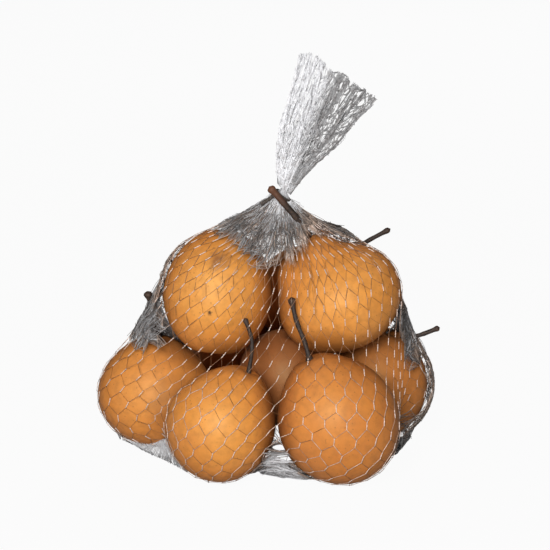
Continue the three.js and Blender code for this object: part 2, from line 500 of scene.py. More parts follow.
def make_piece(
    name: str,
    corners: np.ndarray,
    faces: list[list[int]],
    material: bpy.types.Material,
    values: dict[str, np.ndarray] | None = None,
) -> bpy.types.Object:
    """Makes a smooth-shaded mesh that rides on the part.

    Args:
        name: The piece's name.
        corners: Points in millimetres.
        faces: Corner numbers of each face.
        material: The finish.
        values: Numbers stored on the corners for the finish to read.

    Returns:
        The new object.
    """
    mesh = bpy.data.meshes.new(name)
    mesh.from_pydata((corners * MM).tolist(), [], faces)
    mesh.polygons.foreach_set("use_smooth", [True] * len(mesh.polygons))
    for label, numbers in (values or {}).items():
        layer = mesh.attributes.new(label, "FLOAT", "POINT")
        layer.data.foreach_set("value", numbers.astype(np.float32))
    mesh.materials.append(material)
    mesh.validate()
    made = bpy.data.objects.new(name, mesh)
    bpy.context.scene.collection.objects.link(made)
    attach(made, BODY)
    return made


def unit(vectors: np.ndarray) -> np.ndarray:
    """Vectors scaled to length 1."""
    return vectors / np.maximum(np.linalg.norm(vectors, axis=-1, keepdims=True), NEARLY_NOTHING)


def ramp(values: np.ndarray, start: float, length: float) -> np.ndarray:
    """0 up to a start, then rising evenly to 1 over a length."""
    return np.clip((values - start) / length, 0, 1)


def smooth_route(route: list[Point], count: int) -> np.ndarray:
    """Points along a Catmull-Rom curve through a route.

    Args:
        route: The points to pass through.
        count: How many points to return.

    Returns:
        The curve's points, one row each.
    """
    points = np.array(route, float)
    ends = (2 * points[0] - points[1], 2 * points[-1] - points[-2])
    padded = np.vstack([ends[0], points, ends[1]])
    places = np.linspace(0, len(points) - 1.0001, count)
    start = places.astype(int)
    share = (places - start)[:, None]
    before, here, after, beyond = (padded[start + step] for step in range(4))
    return 0.5 * (
        2 * here
        + (after - before) * share
        + (2 * before - 5 * here + 4 * after - beyond) * share**2
        + (3 * here - before - 3 * after + beyond) * share**3
    )


def frames(along: np.ndarray, guide: np.ndarray | tuple) -> tuple[np.ndarray, np.ndarray]:
    """Two directions square to each given one, and to each other.

    Args:
        along: Unit directions.
        guide: A direction, or one for each, that none of them runs along.

    Returns:
        The first and the second directions.
    """
    side = unit(np.cross(along, guide))
    return side, np.cross(side, along)


def weld(made: bpy.types.Object) -> None:
    """Merges corners that share a place, such as a pole's.

    Args:
        made: The object whose mesh is welded.
    """
    work = bmesh.new()
    work.from_mesh(made.data)
    bmesh.ops.remove_doubles(work, verts=work.verts, dist=1e-6)
    work.to_mesh(made.data)
    work.free()


@dataclass
class TubeBatch:
    """Many thin closed tubes joined in one mesh."""

    sides: int = 4
    steep: float = 0.85
    corners: list[np.ndarray] = field(default_factory=list)
    faces: list[list[int]] = field(default_factory=list)
    values: list[np.ndarray] = field(default_factory=list)
    used: int = 0

    def add(self, paths: np.ndarray, radius: np.ndarray, values: np.ndarray) -> None:
        """Adds a tube along each path.

        Args:
            paths: Points, as tube by step by coordinate.
            radius: The radius at each step of each tube.
            values: A number to store at each step of each tube.
        """
        count, steps, _ = paths.shape
        along = unit(np.gradient(paths, axis=1))
        guide = np.where(np.abs(along[:, :1, 2:3]) > self.steep, [1.0, 0.0, 0.0], [0.0, 0.0, 1.0])
        side, up = frames(along, guide)
        turn = 2 * np.pi * (np.arange(self.sides) + 0.5) / self.sides
        ring = np.cos(turn)[:, None] * side[:, :, None, :] + np.sin(turn)[:, None] * up[:, :, None, :]
        corners = paths[:, :, None, :] + radius[:, :, None, None] * ring
        self.corners.append(corners.reshape(-1, 3))
        self.values.append(np.repeat(values.reshape(-1), self.sides))
        number = self.used + np.arange(count * steps * self.sides)
        number = number.reshape(count, steps, self.sides)
        following = np.roll(number, -1, axis=2)
        walls = np.stack([number[:, :-1], following[:, :-1], following[:, 1:], number[:, 1:]], axis=-1)
        self.faces += walls.reshape(-1, 4).tolist()
        self.faces += number[:, 0, ::-1].tolist()
        self.faces += number[:, -1, :].tolist()
        self.used += count * steps * self.sides

    def piece(self, name: str, material: bpy.types.Material, label: str) -> bpy.types.Object:
        """Joins the tubes.

        Args:
            name: The piece's name.
            material: The finish.
            label: The name under which the tubes' numbers are stored.

        Returns:
            The new object.
        """
        values = {label: np.concatenate(self.values)}
        return make_piece(name, np.vstack(self.corners), self.faces, material, values)


# ---- pears ----


@dataclass
class Pear:
    """One pear, as a distance from its middle in every direction."""

    name: str
    middle: Point
    across: float
    along: float
    stem_towards: Point
    neck_rise: float
    ripeness: float
    stem_route: list[Point]
    stem_radius: float
    stands_for: str | None = None
    pokes_out_at: Point | None = None
    neck_spread: float = 0.45
    shoulder_towards: Point = (0.0, 0.0, 1.0)
    shoulder_rise: float = 0.0
    shoulder_spread: float = 0.38
    unevenness: float = 0.35
    lumps: int = 6
    dimple_depth: float = 2.2
    dimple_spread: float = 0.13
    eye_depth: float = 3.2
    eye_spread: float = 0.16
    brown_round_stem: float = 0.34
    brown_round_eye: float = 0.24
    broken_end: float = 0.2
    end_brownness: float = 0.12
    stem_steps: int = 40
    knob: float = 0.3
    knob_place: tuple[float, float] = (0.95, 0.06)
    flare: float = 0.3
    flare_length: float = 0.09
    tip_length: float = 0.035
    stem_under_net: bool = True
    # The values below paint light and shade into the skin: how much the whole pear is darkened, how much
    # light falls on the side that faces the lamp and which side that is, how dark its edges turned from the
    # lamp are, and how far shade spreads from the other pears.
    shade_darkening: float = 0.0
    sun: float = 0.2
    lamp_side: Point = (0.05, -1.0, 0.4)
    rim_shade_strength: float = 0.32
    crevice_shade_reach: float = 17.0
    rings: int = 72
    columns: int = 88

    def __post_init__(self) -> None:
        """Works out the pear's directions and its own uneven lumps."""
        self.centre = np.array(self.middle, float)
        self.axis = unit(np.array(self.stem_towards, float))
        self.shoulder_axis = unit(np.array(self.shoulder_towards, float))
        draw = np.random.default_rng([ord(letter) for letter in self.name])
        self.lump_axes = unit(draw.normal(size=(self.lumps, 3)))
        self.lump_turns = draw.uniform(1.5, 4.0, self.lumps)
        self.lump_starts = draw.uniform(0, 2 * np.pi, self.lumps)

    def reach(self, towards: np.ndarray) -> np.ndarray:
        """The distance from the middle to the skin.

        Args:
            towards: Unit directions, one row each.

        Returns:
            One distance for each direction.
        """
        cosine = np.clip(towards @ self.axis, -1, 1)
        sine = np.sqrt(1 - cosine**2)
        body = self.across * self.along / np.hypot(self.across * cosine, self.along * sine)
        neck = self.neck_rise * np.exp(-((np.arccos(cosine) / self.neck_spread) ** 2))
        lean = np.arccos(np.clip(towards @ self.shoulder_axis, -1, 1))
        shoulder = self.shoulder_rise * np.exp(-((lean / self.shoulder_spread) ** 2))
        waves = np.cos(towards @ self.lump_axes.T * self.lump_turns + self.lump_starts)
        return body + np.maximum(neck, shoulder) + self.unevenness * waves.sum(axis=-1)

    def polar_grid(self) -> tuple[np.ndarray, np.ndarray]:
        """Directions over the whole skin.

        Returns:
            Unit directions as ring by column by coordinate, and each ring's angle from the stem.
        """
        angle = np.linspace(0, np.pi, self.rings)
        turn = np.linspace(0, 2 * np.pi, self.columns, endpoint=False)
        side = unit(np.cross(self.axis, [0.0, 1.0, 0.0]))
        front = np.cross(self.axis, side)
        round_about = np.cos(turn)[:, None] * side + np.sin(turn)[:, None] * front
        towards = (
            np.cos(angle)[:, None, None] * self.axis
            + np.sin(angle)[:, None, None] * round_about[None, :, :]
        )
        return towards, angle

    def gap(self, points: np.ndarray) -> np.ndarray:
        """How far points are off the skin.

        Args:
            points: Points, one row each.

        Returns:
            One distance for each point, less than 0 inside the pear.
        """
        away = points - self.centre
        distance = np.linalg.norm(away, axis=1)
        return distance - self.reach(away / distance[:, None])

    def crowding(self, points: np.ndarray, others: list["Pear"]) -> np.ndarray:
        """How closely other pears press on the skin.

        Args:
            points: Points of the skin, one row each.
            others: The other pears.

        Returns:
            For each point, 0 in the open and 1 where a pear touches it.
        """
        # The result paints shade on the skin where other pears come close.
        nearest = np.min([other.gap(points) for other in others], axis=0)
        return np.clip(1 - nearest / self.crevice_shade_reach, 0, 1)

    def build(self, skin: bpy.types.Material, others: list["Pear"]) -> None:
        """Makes the pear's body.

        Args:
            skin: The skin's finish.
            others: The other pears of the heap.
        """
        towards, angle = self.polar_grid()
        flat = towards.reshape(-1, 3)
        reach = self.reach(flat).reshape(self.rings, self.columns)
        stem_dip = self.dimple_depth * np.exp(-((angle / self.dimple_spread) ** 2))
        eye_dip = self.eye_depth * np.exp(-(((np.pi - angle) / self.eye_spread) ** 2))
        reach = reach - (stem_dip + eye_dip)[:, None]
        corners = (self.centre + reach[..., None] * towards).reshape(-1, 3)
        facing = flat @ unit(np.array(self.lamp_side))
        ends = np.exp(-((angle / self.brown_round_stem) ** 2))
        ends += np.exp(-(((np.pi - angle) / self.brown_round_eye) ** 2))
        number = np.arange(self.rings * self.columns).reshape(self.rings, self.columns)
        beside = np.roll(number, -1, axis=1)
        faces = np.stack([number[:-1], number[1:], beside[1:], beside[:-1]], axis=-1)
        # The skin's values include painted light on the side that faces the lamp, and painted shade on the
        # edges turned from it, where other pears come close and over a darkened pear.
        values = {
            "ripeness": np.full(number.size, self.ripeness),
            "ends": np.repeat(ends, self.columns),
            "shade_darkening": np.full(number.size, self.shade_darkening),
            "sun": self.sun * ramp(facing, 0.45, 0.5),
            "shaded_rim": self.rim_shade_strength * ramp(-facing, -0.6, 0.6),
            "crowding": self.crowding(corners, others),
        }
        faces = faces.reshape(-1, 4).tolist()
        weld(make_piece(f"pear_{self.name}", corners, faces, skin, values))

    def build_stem(self, bark: bpy.types.Material) -> None:
        """Makes the pear's stem, with a knob where it broke from the twig.

        Args:
            bark: The stem's finish.
        """
        path = smooth_route(self.stem_route, self.stem_steps)
        share = np.linspace(0, 1, self.stem_steps)
        knob_at, knob_length = self.knob_place
        knob = self.knob * np.exp(-(((share - knob_at) / knob_length) ** 2))
        root = self.flare * np.exp(-((share / self.flare_length) ** 2))
        tip = np.sqrt(np.clip((1 - share) / self.tip_length, 0, 1))
        draw = np.random.default_rng(len(self.name))
        wobble = 1 + 0.05 * np.sin(share * 21 + draw.uniform(0, 6)) + 0.03 * np.sin(share * 47)
        radius = self.stem_radius * (0.9 + knob + root) * wobble * np.maximum(tip, 0.05)
        batch = TubeBatch(sides=14)
        end = self.end_brownness * np.clip((share - 1 + self.broken_end) / self.broken_end, 0, 1)
        batch.add(path[None], radius[None], end[None])
        made = batch.piece(f"pear_{self.name}_stem", bark, "broken_end")
        if self.stands_for:
            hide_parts(self.stands_for)


@dataclass
class LooseFold:
    """A fold of loose net that stands out by itself, as if over a ball."""

    middle: Point
    radius: float


@dataclass
class Heap:
    """The nine pears, and how they hold the net off."""

    pears: list[Pear]
    folds: tuple[LooseFold, ...] = (
        LooseFold((34.0, 13.0, 110.0), 16.0),
        LooseFold((5.5, -34.0, 2.0), 11.0),
        LooseFold((-47.2, -17.2, 0.0), 10.0),
        LooseFold((65.0, 4.0, 78.0), 12.0),
        LooseFold((59.0, -6.0, 4.0), 13.0),
        LooseFold((66.0, 10.0, 6.0), 14.0),
        LooseFold((61.0, 12.0, 34.0), 32.0),
        LooseFold((-28.5, 3.0, 93.0), 32.2),
    )
    stem_clearance: float = 0.45
    margin: float = 6.0

    def hold_off(self, points: np.ndarray, gap: float) -> None:
        """Moves points out of the pears and off the floor, in place.

        Args:
            points: Points, one row each.
            gap: How far off the skin they stay.
        """
        for pear in self.pears:
            away = points - pear.centre
            distance = np.linalg.norm(away, axis=1)
            near = distance < pear.across + pear.neck_rise + pear.shoulder_rise + self.margin
            towards = away[near] / distance[near, None]
            reach = np.maximum(distance[near], pear.reach(towards) + gap)
            points[near] = pear.centre + towards * reach[:, None]
        points[:, 2] = np.maximum(points[:, 2], gap)

    def clearance(self, points: np.ndarray) -> np.ndarray:
        """How far each point is off the nearest pear."""
        return np.min([pear.gap(points) for pear in self.pears], axis=0)

    def hold_up(self, points: np.ndarray) -> None:
        """Moves points out of the loose folds' balls, in place.

        Args:
            points: Points, one row each.
        """
        for fold in self.folds:
            away = points - np.array(fold.middle)
            distance = np.linalg.norm(away, axis=1)
            inside = distance < fold.radius
            reach = fold.radius / distance[inside, None]
            points[inside] = np.array(fold.middle) + away[inside] * reach

    def hold_off_stems(self, points: np.ndarray) -> None:
        """Moves points out of the stems that lie under the net, in place.

        Args:
            points: Points, one row each.
        """
        for pear in self.pears:
            if not (pear.stem_route and pear.stem_under_net):
                continue
            path = smooth_route(pear.stem_route, 7)
            gap = pear.stem_radius + self.stem_clearance
            for start, end in zip(path[:-1], path[1:]):
                run = end - start
                share = np.clip((points - start) @ run / (run @ run), 0, 1)
                nearest = start + share[:, None] * run
                away = points - nearest
                distance = np.maximum(np.linalg.norm(away, axis=1), 1e-6)
                inside = distance < gap
                points[inside] = (nearest + away * (gap / distance)[:, None])[inside]

    def build(self, skin: bpy.types.Material, bark: bpy.types.Material) -> None:
        """Makes every pear and stem.

        Args:
            skin: The skin's finish.
            bark: The stems' finish.
        """
        for pear in self.pears:
            pear.build(skin, [other for other in self.pears if other is not pear])
            if pear.stem_route:
                pear.build_stem(bark)
            LOG.info("pear %s built", pear.name)


def make_heap() -> Heap:
    """Lays out the pears.

    Returns:
        The heap.
    """
    return Heap(
        [
            Pear(
                name="left", middle=(-64, 5, 31.8), across=31.8, along=30.4,
                stem_towards=(0.08, -0.08, 1), neck_rise=2.5, ripeness=0.22, rim_shade_strength=0.5,
                stem_route=[(-60.8, 2.8, 61), (-61.9, 2, 70), (-64.6, 1.5, 80), (-67.5, 1.5, 92)],
                stem_radius=1.45, stands_for="stem_left", pokes_out_at=(-66.6, 1.5, 87), knob=0.75,
            ),
            Pear(
                name="front_left", middle=(-26, -45.3, 31.4), across=29.8, along=30.4,
                stem_towards=(0.5, 0.05, 1), neck_rise=4.5, ripeness=0.1, sun=0.4, rim_shade_strength=0.4,
                stem_route=[(-11.3, -43.6, 59.8), (-9.4, -41.5, 71), (-9.7, -39, 79), (-13.2, -35.4, 88.6)],
                stem_radius=1.2,
            ),
            # The middle pear lies among the others: its ripeness and russeting are set high to darken it as
            # painted shade.
            Pear(
                name="middle", middle=(8.8, 2.5, 41.0), across=26.4, along=26.6,
                stem_towards=(0.1, -0.2, 1), neck_rise=2, ripeness=0.9,
                stem_route=[], stem_radius=0, shade_darkening=0.5, crevice_shade_reach=26,
            ),
            Pear(
                name="front_right", middle=(37.2, -49.5, 35.4), across=31.9, along=34.7,
                stem_towards=(-0.47, 0.1, 1), neck_rise=4.5, ripeness=0.5,
                stem_route=[(21.8, -46, 67.2), (18.8, -42, 77.2), (14.3, -36, 87.6), (11.6, -31, 98.9)],
                stem_radius=1.4, knob=0.55, flare=0.8, crevice_shade_reach=22, rim_shade_strength=0.45,
            ),
            Pear(
                name="right", middle=(60.4, 12, 33.1), across=29.2, along=31.4,
                stem_towards=(0.3, -0.1, 1), neck_rise=2.5, ripeness=0.5,
                stem_route=[(70.2, 8.4, 61), (77, 7.2, 62.6), (85, 7, 65), (94.8, 7, 69.0)],
                stem_radius=1.4, stands_for="stem_right", pokes_out_at=(82.3, 7, 63.9), crevice_shade_reach=26,
            ),
            Pear(
                name="top_left", middle=(-28.3, 0, 91.4), across=30.8, along=35.2,
                stem_towards=(0.12, 0.3, 1), neck_rise=1.5, ripeness=0.05, sun=0.6, rim_shade_strength=0.2,
                stem_route=[(-24.2, 10, 122.5), (-20, 8, 129), (-12, 4, 135), (-4, 0.5, 139)],
                stem_radius=1.1,
            ),
            Pear(
                name="top_right", middle=(38.8, -5.5, 89.6), across=34.2, along=28.8,
                stem_towards=(-0.5, 0.02, 1), neck_rise=11.5, neck_spread=0.4, ripeness=0.0,
                shoulder_towards=(-0.82, 0, 0.57), shoulder_rise=9.5, shoulder_spread=0.42, sun=0.4,
                crevice_shade_reach=14, rim_shade_strength=0.4,
                stem_route=[(21.2, -5, 124.9), (16, -8.2, 134.6), (8.4, -9.9, 144.4), (-0.2, -9.9, 154.4)],
                stem_radius=1.95, stands_for="stem_top", dimple_depth=0, broken_end=0.4, end_brownness=0.8,
                stem_under_net=False,
            ),
            Pear(
                name="back", middle=(19, 53.7, 74.5), across=27.3, along=28,
                stem_towards=(0.85, -0.1, 0.75), neck_rise=3, ripeness=0.3,
                stem_route=[(41, 51.5, 95), (48, 49.2, 101.5), (56, 48.3, 107.3), (68.8, 48, 114.6)],
                stem_radius=1.4, stands_for="stem_back", pokes_out_at=(55.8, 48.3, 107.2),
            ),
            Pear(
                name="back_low", middle=(-18, 52.4, 30.4), across=28.8, along=29,
                stem_towards=(-0.3, 0.4, 1), neck_rise=3, ripeness=0.4,
                stem_route=[(-25.2, 63, 57.5), (-27.8, 66.4, 65), (-32.5, 69, 72.5)], stem_radius=1.3,
            ),
        ]
    )


# ---- net ----


@dataclass
class Neck:
    """Where the tie draws the net together."""

    middle: Point = (7.0, -1.5, 147.0)
    radius: float = 3.5
    lean: float = math.radians(26)

    def ring(self, turn: np.ndarray) -> np.ndarray:
        """Points round the neck.

        Args:
            turn: The angles.

        Returns:
            One point for each angle.
        """
        across = np.array([math.cos(self.lean), 0, -math.sin(self.lean)])
        away = np.array([0.0, 1.0, 0.0])
        round_about = np.cos(turn)[:, None] * across + np.sin(turn)[:, None] * away
        return np.array(self.middle) + self.radius * round_about


@dataclass
class Bag:
    """The smooth bag drawn in round the heap, on which the mesh is first laid."""

    heap: Heap
    neck: Neck
    columns: int = 96
    side_rows: int = 36
    floor_rows: int = 10
    loose_half: tuple[float, float] = (106.0, 90.0)
    floor_share: float = 0.05
    gap: float = 0.35
    pull_along: float = 0.34
    pull_round: float = 0.14
    sag: float = 0.14
    sag_above: float = 112.0
    bulge: float = 1.8
    drop_power: float = 1.4
    passes: int = 900

    def sagging(self, points: np.ndarray) -> np.ndarray:
        """How far the slack net under the tie drops in a pass: only on its loose right side."""
        right = ramp(points[..., 0], self.neck.middle[0], 8)
        return self.sag * right * ramp(points[..., 2], self.sag_above, 10)

    def depths(self) -> np.ndarray:
        """How far down the bag each ring lies, measured along it."""
        step = np.linalg.norm(np.diff(self.rings, axis=0), axis=2).mean(axis=1)
        return np.concatenate([[0], np.cumsum(step)])

    def draw_in(self) -> "Bag":
        """Shrinks the loose bag until the pears and the floor stop it.

        Returns:
            The bag itself.
        """
        net = self.loose_rings()
        for _ in range(self.passes):
            along = net[:-2] + net[2:] - 2 * net[1:-1]
            beside = (np.roll(net, 1, 1) + np.roll(net, -1, 1) - 2 * net)[1:-1]
            inner = net[1:-1] + self.pull_along * along + self.pull_round * beside
            inner[:, :, 2] -= self.sagging(inner)
            flat = inner.reshape(-1, 3)
            self.heap.hold_up(flat)
            self.heap.hold_off(flat, self.gap)
            inner = flat.reshape(inner.shape)
            inner[self.side_rows - 1 :, :, 2] = self.gap
            net[1:-1] = inner
        self.rings = net
        return self

    def loose_rings(self) -> np.ndarray:
        """The bag before it shrinks: wide rings down to the floor, and smaller ones across it.

        Returns:
            Points as ring by column by coordinate.
        """
        turn = np.linspace(0, 2 * np.pi, self.columns, endpoint=False)
        rings = [self.neck.ring(turn)]
        top = self.neck.middle
        wide, deep = self.loose_half
        for row in range(1, self.side_rows + self.floor_rows + 1):
            drop = min(1.0, row / self.side_rows)
            share = math.sin(math.pi / 2 * min(1.0, self.bulge * drop))
            if row > self.side_rows:
                share = 1 + (self.floor_share - 1) * (row - self.side_rows) / self.floor_rows
            ring = [
                wide * share * np.cos(turn) + top[0] * (1 - share),
                deep * share * np.sin(turn) + top[1] * (1 - share),
                np.full_like(turn, top[2] * (1 - drop**self.drop_power)),
            ]
            rings.append(np.stack(ring, axis=-1))
        return np.array(rings)

    def sample(self, row: np.ndarray | float, turn: np.ndarray) -> np.ndarray:
        """Points of the bag.

        Args:
            row: How many rings down, with a fraction, for all the points or for each.
            turn: The angles round it.

        Returns:
            One point for each angle.
        """
        row = np.broadcast_to(np.minimum(row, len(self.rings) - 1.001), turn.shape)
        ring, down = row.astype(int), (row % 1)[:, None]
        place = (turn / (2 * np.pi) * self.columns) % self.columns
        column = place.astype(int) % self.columns
        share = (place % 1)[:, None]
        beside = (column + 1) % self.columns
        upper = self.rings[ring, column] * (1 - share) + self.rings[ring, beside] * share
        lower = self.rings[ring + 1, column] * (1 - share) + self.rings[ring + 1, beside] * share
        return upper * (1 - down) + lower * down


def link_rows(rows: int, columns: int) -> tuple[np.ndarray, np.ndarray]:
    """The net's pattern: short legs in a brick layout, each joined to four others.

    Args:
        rows: Rows of legs.
        columns: Legs in each row.

    Returns:
        The legs and the diagonals, as pairs of node numbers.
    """
    top = np.arange(rows * columns).reshape(rows, columns)
    bottom = top + rows * columns
    legs = np.stack([top.ravel(), bottom.ravel()], axis=1)
    diagonals = []
    for row in range(rows - 1):
        shifts = (1, 0) if row % 2 == 0 else (0, -1)
        for shift in shifts:
            diagonals.append(np.stack([bottom[row], np.roll(top[row + 1], shift)], axis=1))
    return legs, np.vstack(diagonals)


@dataclass
class Mesh:
    """The bag's net, thread by thread."""

    heap: Heap
    neck: Neck
    columns: int = 48
    leg: float = 3.3
    diagonal: float = 7.8
    twist: float = math.radians(-52)
    tightness: float = 0.93
    settled: float = 0.96
    widest: float = 0.98
    uneven: float = 0.035
    gap: float = 0.7
    passes: int = 1200
    relaxation: float = 1.3
    slack_push: float = 0.05
    tent_depth: float = 60.0
    tent_rows: float = 1.4
    tent_crowding: float = 0.45
    seed: int = 3

    def row_places(self, bag: Bag) -> np.ndarray:
        """Where rows of legs start and end down the bag, crowded under the tie.

        Args:
            bag: The smooth bag.

        Returns:
            The bag's ring numbers at the top and bottom of each row.
        """
        ring_size = np.linalg.norm(np.roll(bag.rings, -1, 1) - bag.rings, axis=2).sum(axis=1)
        depth = bag.depths()
        thread = self.diagonal * self.settled
        down = 0.0
        starts = []
        while down < depth[-1]:
            starts.append((down, down + self.leg))
            half = min(np.interp(down, depth, ring_size) / (2 * self.columns), thread * self.widest)
            crowding = np.interp(down, [0, self.tent_depth], [self.tent_crowding, 1])
            down += self.leg + crowding * math.sqrt(thread**2 - half**2)
        places = np.array(starts)
        places *= depth[-1] / places[-1, 1]
        return np.interp(places, depth, np.arange(len(depth)))

    def lay_on(self, bag: Bag) -> "Mesh":
        """Lays rows of legs down the bag.

        Args:
            bag: The smooth bag.

        Returns:
            The mesh itself.
        """
        places = self.row_places(bag)
        self.rows = len(places)
        self.legs, self.diagonals = link_rows(self.rows, self.columns)
        tops, bottoms = [], []
        for row, (high, low) in enumerate(places):
            turn = 2 * np.pi * (np.arange(self.columns) + 0.5 * (row % 2)) / self.columns
            tops.append(bag.sample(high, turn + self.twist * high / len(bag.rings)))
            bottoms.append(bag.sample(low, turn + self.twist * low / len(bag.rings)))
        self.nodes = np.vstack(tops + bottoms)
        draw = np.random.default_rng(self.seed)
        self.leg_lengths = np.full(len(self.legs), self.leg)
        natural = self.diagonal * self.tightness
        self.diagonal_lengths = natural * draw.normal(1, self.uneven, len(self.diagonals))
        return self

    def crossing(self) -> np.ndarray:
        """How much each diagonal turns off its leg's line, beside the other that leaves that leg.

        Returns:
            From 0 to 1 for each diagonal.
        """
        leg_way = unit(self.nodes[self.legs[:, 1]] - self.nodes[self.legs[:, 0]])
        way = unit(self.nodes[self.diagonals[:, 1]] - self.nodes[self.diagonals[:, 0]])
        upper = self.diagonals[:, 0] - self.rows * self.columns
        in_line = (way * leg_way[upper]).sum(axis=1).reshape(-1, 2, self.columns)
        return np.clip((in_line[:, ::-1] - in_line) / 0.3, 0, 1).ravel()

    def slack_pushes(self, links: np.ndarray) -> np.ndarray:
        """How hard each link resists being shorter than it is: legs fully, the tent's threads not at all.

        Args:
            links: The legs and then the diagonals, as pairs of node numbers.

        Returns:
            A share of the shortfall for each link.
        """
        push = np.where(np.arange(len(links)) < len(self.legs), 1, self.slack_push)
        slack_rows = self.tent_depth / (self.leg + self.diagonal) * self.tent_rows
        upper_row = (links[:, 0] % (self.rows * self.columns)) // self.columns
        return np.where((push < 1) & (upper_row < slack_rows), 0, push)

    def tighten(self) -> "Mesh":
        """Pulls the threads to length over the heap, held at the neck and underneath.

        Returns:
            The mesh itself.
        """
        nodes = self.nodes
        links = np.vstack([self.legs, self.diagonals])
        length = np.concatenate([self.leg_lengths, self.diagonal_lengths])
        push = self.slack_pushes(links)
        joined = np.bincount(links.ravel(), minlength=len(nodes))[:, None]
        pinned = np.concatenate([np.arange(self.columns), np.arange(len(nodes) - self.columns, len(nodes))])
        props = np.array([p.pokes_out_at for p in self.heap.pears if p.pokes_out_at])
        catch_from, catch_over = self.passes // 3, self.passes / 6
        caught = None
        for turn in range(self.passes):
            run = nodes[links[:, 1]] - nodes[links[:, 0]]
            now = np.linalg.norm(run, axis=1) + NEARLY_NOTHING
            stretch = now - length
            stretch = np.where(stretch > 0, stretch, stretch * push)
            pull = (0.5 * stretch / now)[:, None] * run
            move = np.zeros_like(nodes)
            for axis in range(3):
                move[:, axis] += np.bincount(links[:, 0], pull[:, axis], len(nodes))
                move[:, axis] -= np.bincount(links[:, 1], pull[:, axis], len(nodes))
            move *= self.relaxation / joined
            move[pinned] = 0
            nodes += move
            self.heap.hold_off(nodes, self.gap)
            self.heap.hold_off_stems(nodes)
            self.heap.hold_up(nodes)
            if turn == catch_from:
                gaps = np.linalg.norm(nodes[:, None] - props[None], axis=2)
                caught = gaps.argmin(axis=0)
            if caught is not None:
                share = min(1.0, (turn - catch_from) / catch_over)
                nodes[caught] = nodes[caught] * (1 - share) + props * share
        self.nodes = nodes
        return self


@dataclass
class Fan:
    """The spare net above the tie: a flattened tube, folded and crumpled, with a cut edge."""

    neck: Neck
    columns: int = 88
    rows: int = 11
    samples: int = 200
    left_edge: tuple = ((4.4, 154), (4.1, 168), (5.7, 185.2), (9.9, 199.4), (16.3, 224.5))
    right_edge: tuple = ((11.4, 147.6), (20.8, 160.3), (35.3, 174.2), (45.5, 186.5), (58, 199.9))
    cut_edge: tuple = (
        (16.3, 224.5), (23.2, 224.5), (28.5, 220.5), (34.9, 215.6), (40, 214), (45.5, 208.8), (51, 205.3),
        (58, 199.9),
    )
    half_thickness: float = 2.2
    wave: float = 3.2
    folds: int = 5
    fold_overlap: float = 0.075
    leg_share: float = 0.42
    scatter: float = 0.5
    crowding: float = 1.3
    opening: float = 2.2
    fold_turn: float = 3.1
    fold_depth: float = 1.5
    raggedness: float = 0.55
    white: float = 2.0
    shade: float = 0.62
    shade_from: tuple[float, float] = (8.0, 150.0)
    shade_slope: tuple[float, float] = (24.0, 60.0)
    diagonal_length: float = 5.6
    seed: int = 11

    def place(self, rise: np.ndarray, turn: np.ndarray) -> np.ndarray:
        """Points of the fan.

        Args:
            rise: 0 at the tie and 1 at the cut edge.
            turn: The angle round the flattened tube.

        Returns:
            One point for each pair.
        """
        left, right, cut = (
            smooth_route([(x, 0.0, z) for x, z in edge], self.samples)
            for edge in (self.left_edge, self.right_edge, self.cut_edge)
        )
        lap = (turn / np.pi) % 2
        across = np.where(lap < 1, lap, 2 - lap) ** self.crowding
        opened = np.minimum(1, rise * self.opening)
        phase = 2 * np.pi * self.folds * lap + self.fold_turn * rise
        lapped = self.fold_overlap * opened * np.sin(phase)
        across = np.clip(across + lapped * np.sin(np.pi * across) ** 0.7, 0, 1)
        last = self.samples - 1
        up = np.clip((rise * last).astype(int), 0, last)
        over = np.clip((across * last).astype(int), 0, last)
        share = across[:, None]
        points = left[up] * (1 - share) + right[up] * share
        straight = left[-1] * (1 - share) + right[-1] * share
        points += (rise**2)[:, None] * (cut[over] - straight)
        swell = self.neck.radius + (self.half_thickness - self.neck.radius) * np.minimum(1, rise * 4)
        deep = swell * np.sin(np.pi * lap)
        deep += self.wave * rise * np.sin(np.pi * 1.35 * (2 * across - 1 + rise))
        deep += self.fold_depth * opened * np.cos(phase)
        points[:, 1] = self.neck.middle[1] + deep
        return points

    def lay(self) -> "Fan":
        """Lays the net's rows down the fan from its cut edge.

        Returns:
            The fan itself.
        """
        draw = np.random.default_rng(self.seed)
        self.legs, self.diagonals = link_rows(self.rows, self.columns)
        tops, bottoms = [], []
        step = 1 / self.rows
        column = np.arange(self.columns)
        shift = np.sin(column * 0.9) + np.sin(column * 2.3 + 1) + draw.normal(0, 0.5, self.columns)
        for row in range(self.rows):
            turn = 2 * np.pi * (column + 0.5 * (row % 2)) / self.columns
            turn = turn + draw.normal(0, 0.035, self.columns)
            ragged = self.raggedness * step * shift * min(1, row / 2) + draw.normal(0, 0.004, self.columns)
            high = 1 + (self.leg_share - row) * step - np.abs(ragged) * (row == 0)
            high += ragged * (0 < row < self.rows - 1)
            low = high - self.leg_share * step
            tops.append(self.place(np.clip(high, 0, 1), turn))
            bottoms.append(self.place(np.clip(low, 0, 1), turn))
        self.nodes = np.vstack(tops + bottoms)
        self.nodes[:, 1] += draw.normal(0, self.scatter, len(self.nodes))
        return self

    def whiteness(self, points: np.ndarray) -> np.ndarray:
        """How white the fan is: its left side faces the light, its right turns away.

        Args:
            points: Points, one row each.

        Returns:
            The look at each point.
        """
        foot, foot_height = self.shade_from
        across, up = self.shade_slope
        divide = foot + ramp(points[:, 2], foot_height, up) * across
        return self.white - self.shade * ramp(points[:, 0] - divide, -3, 6)


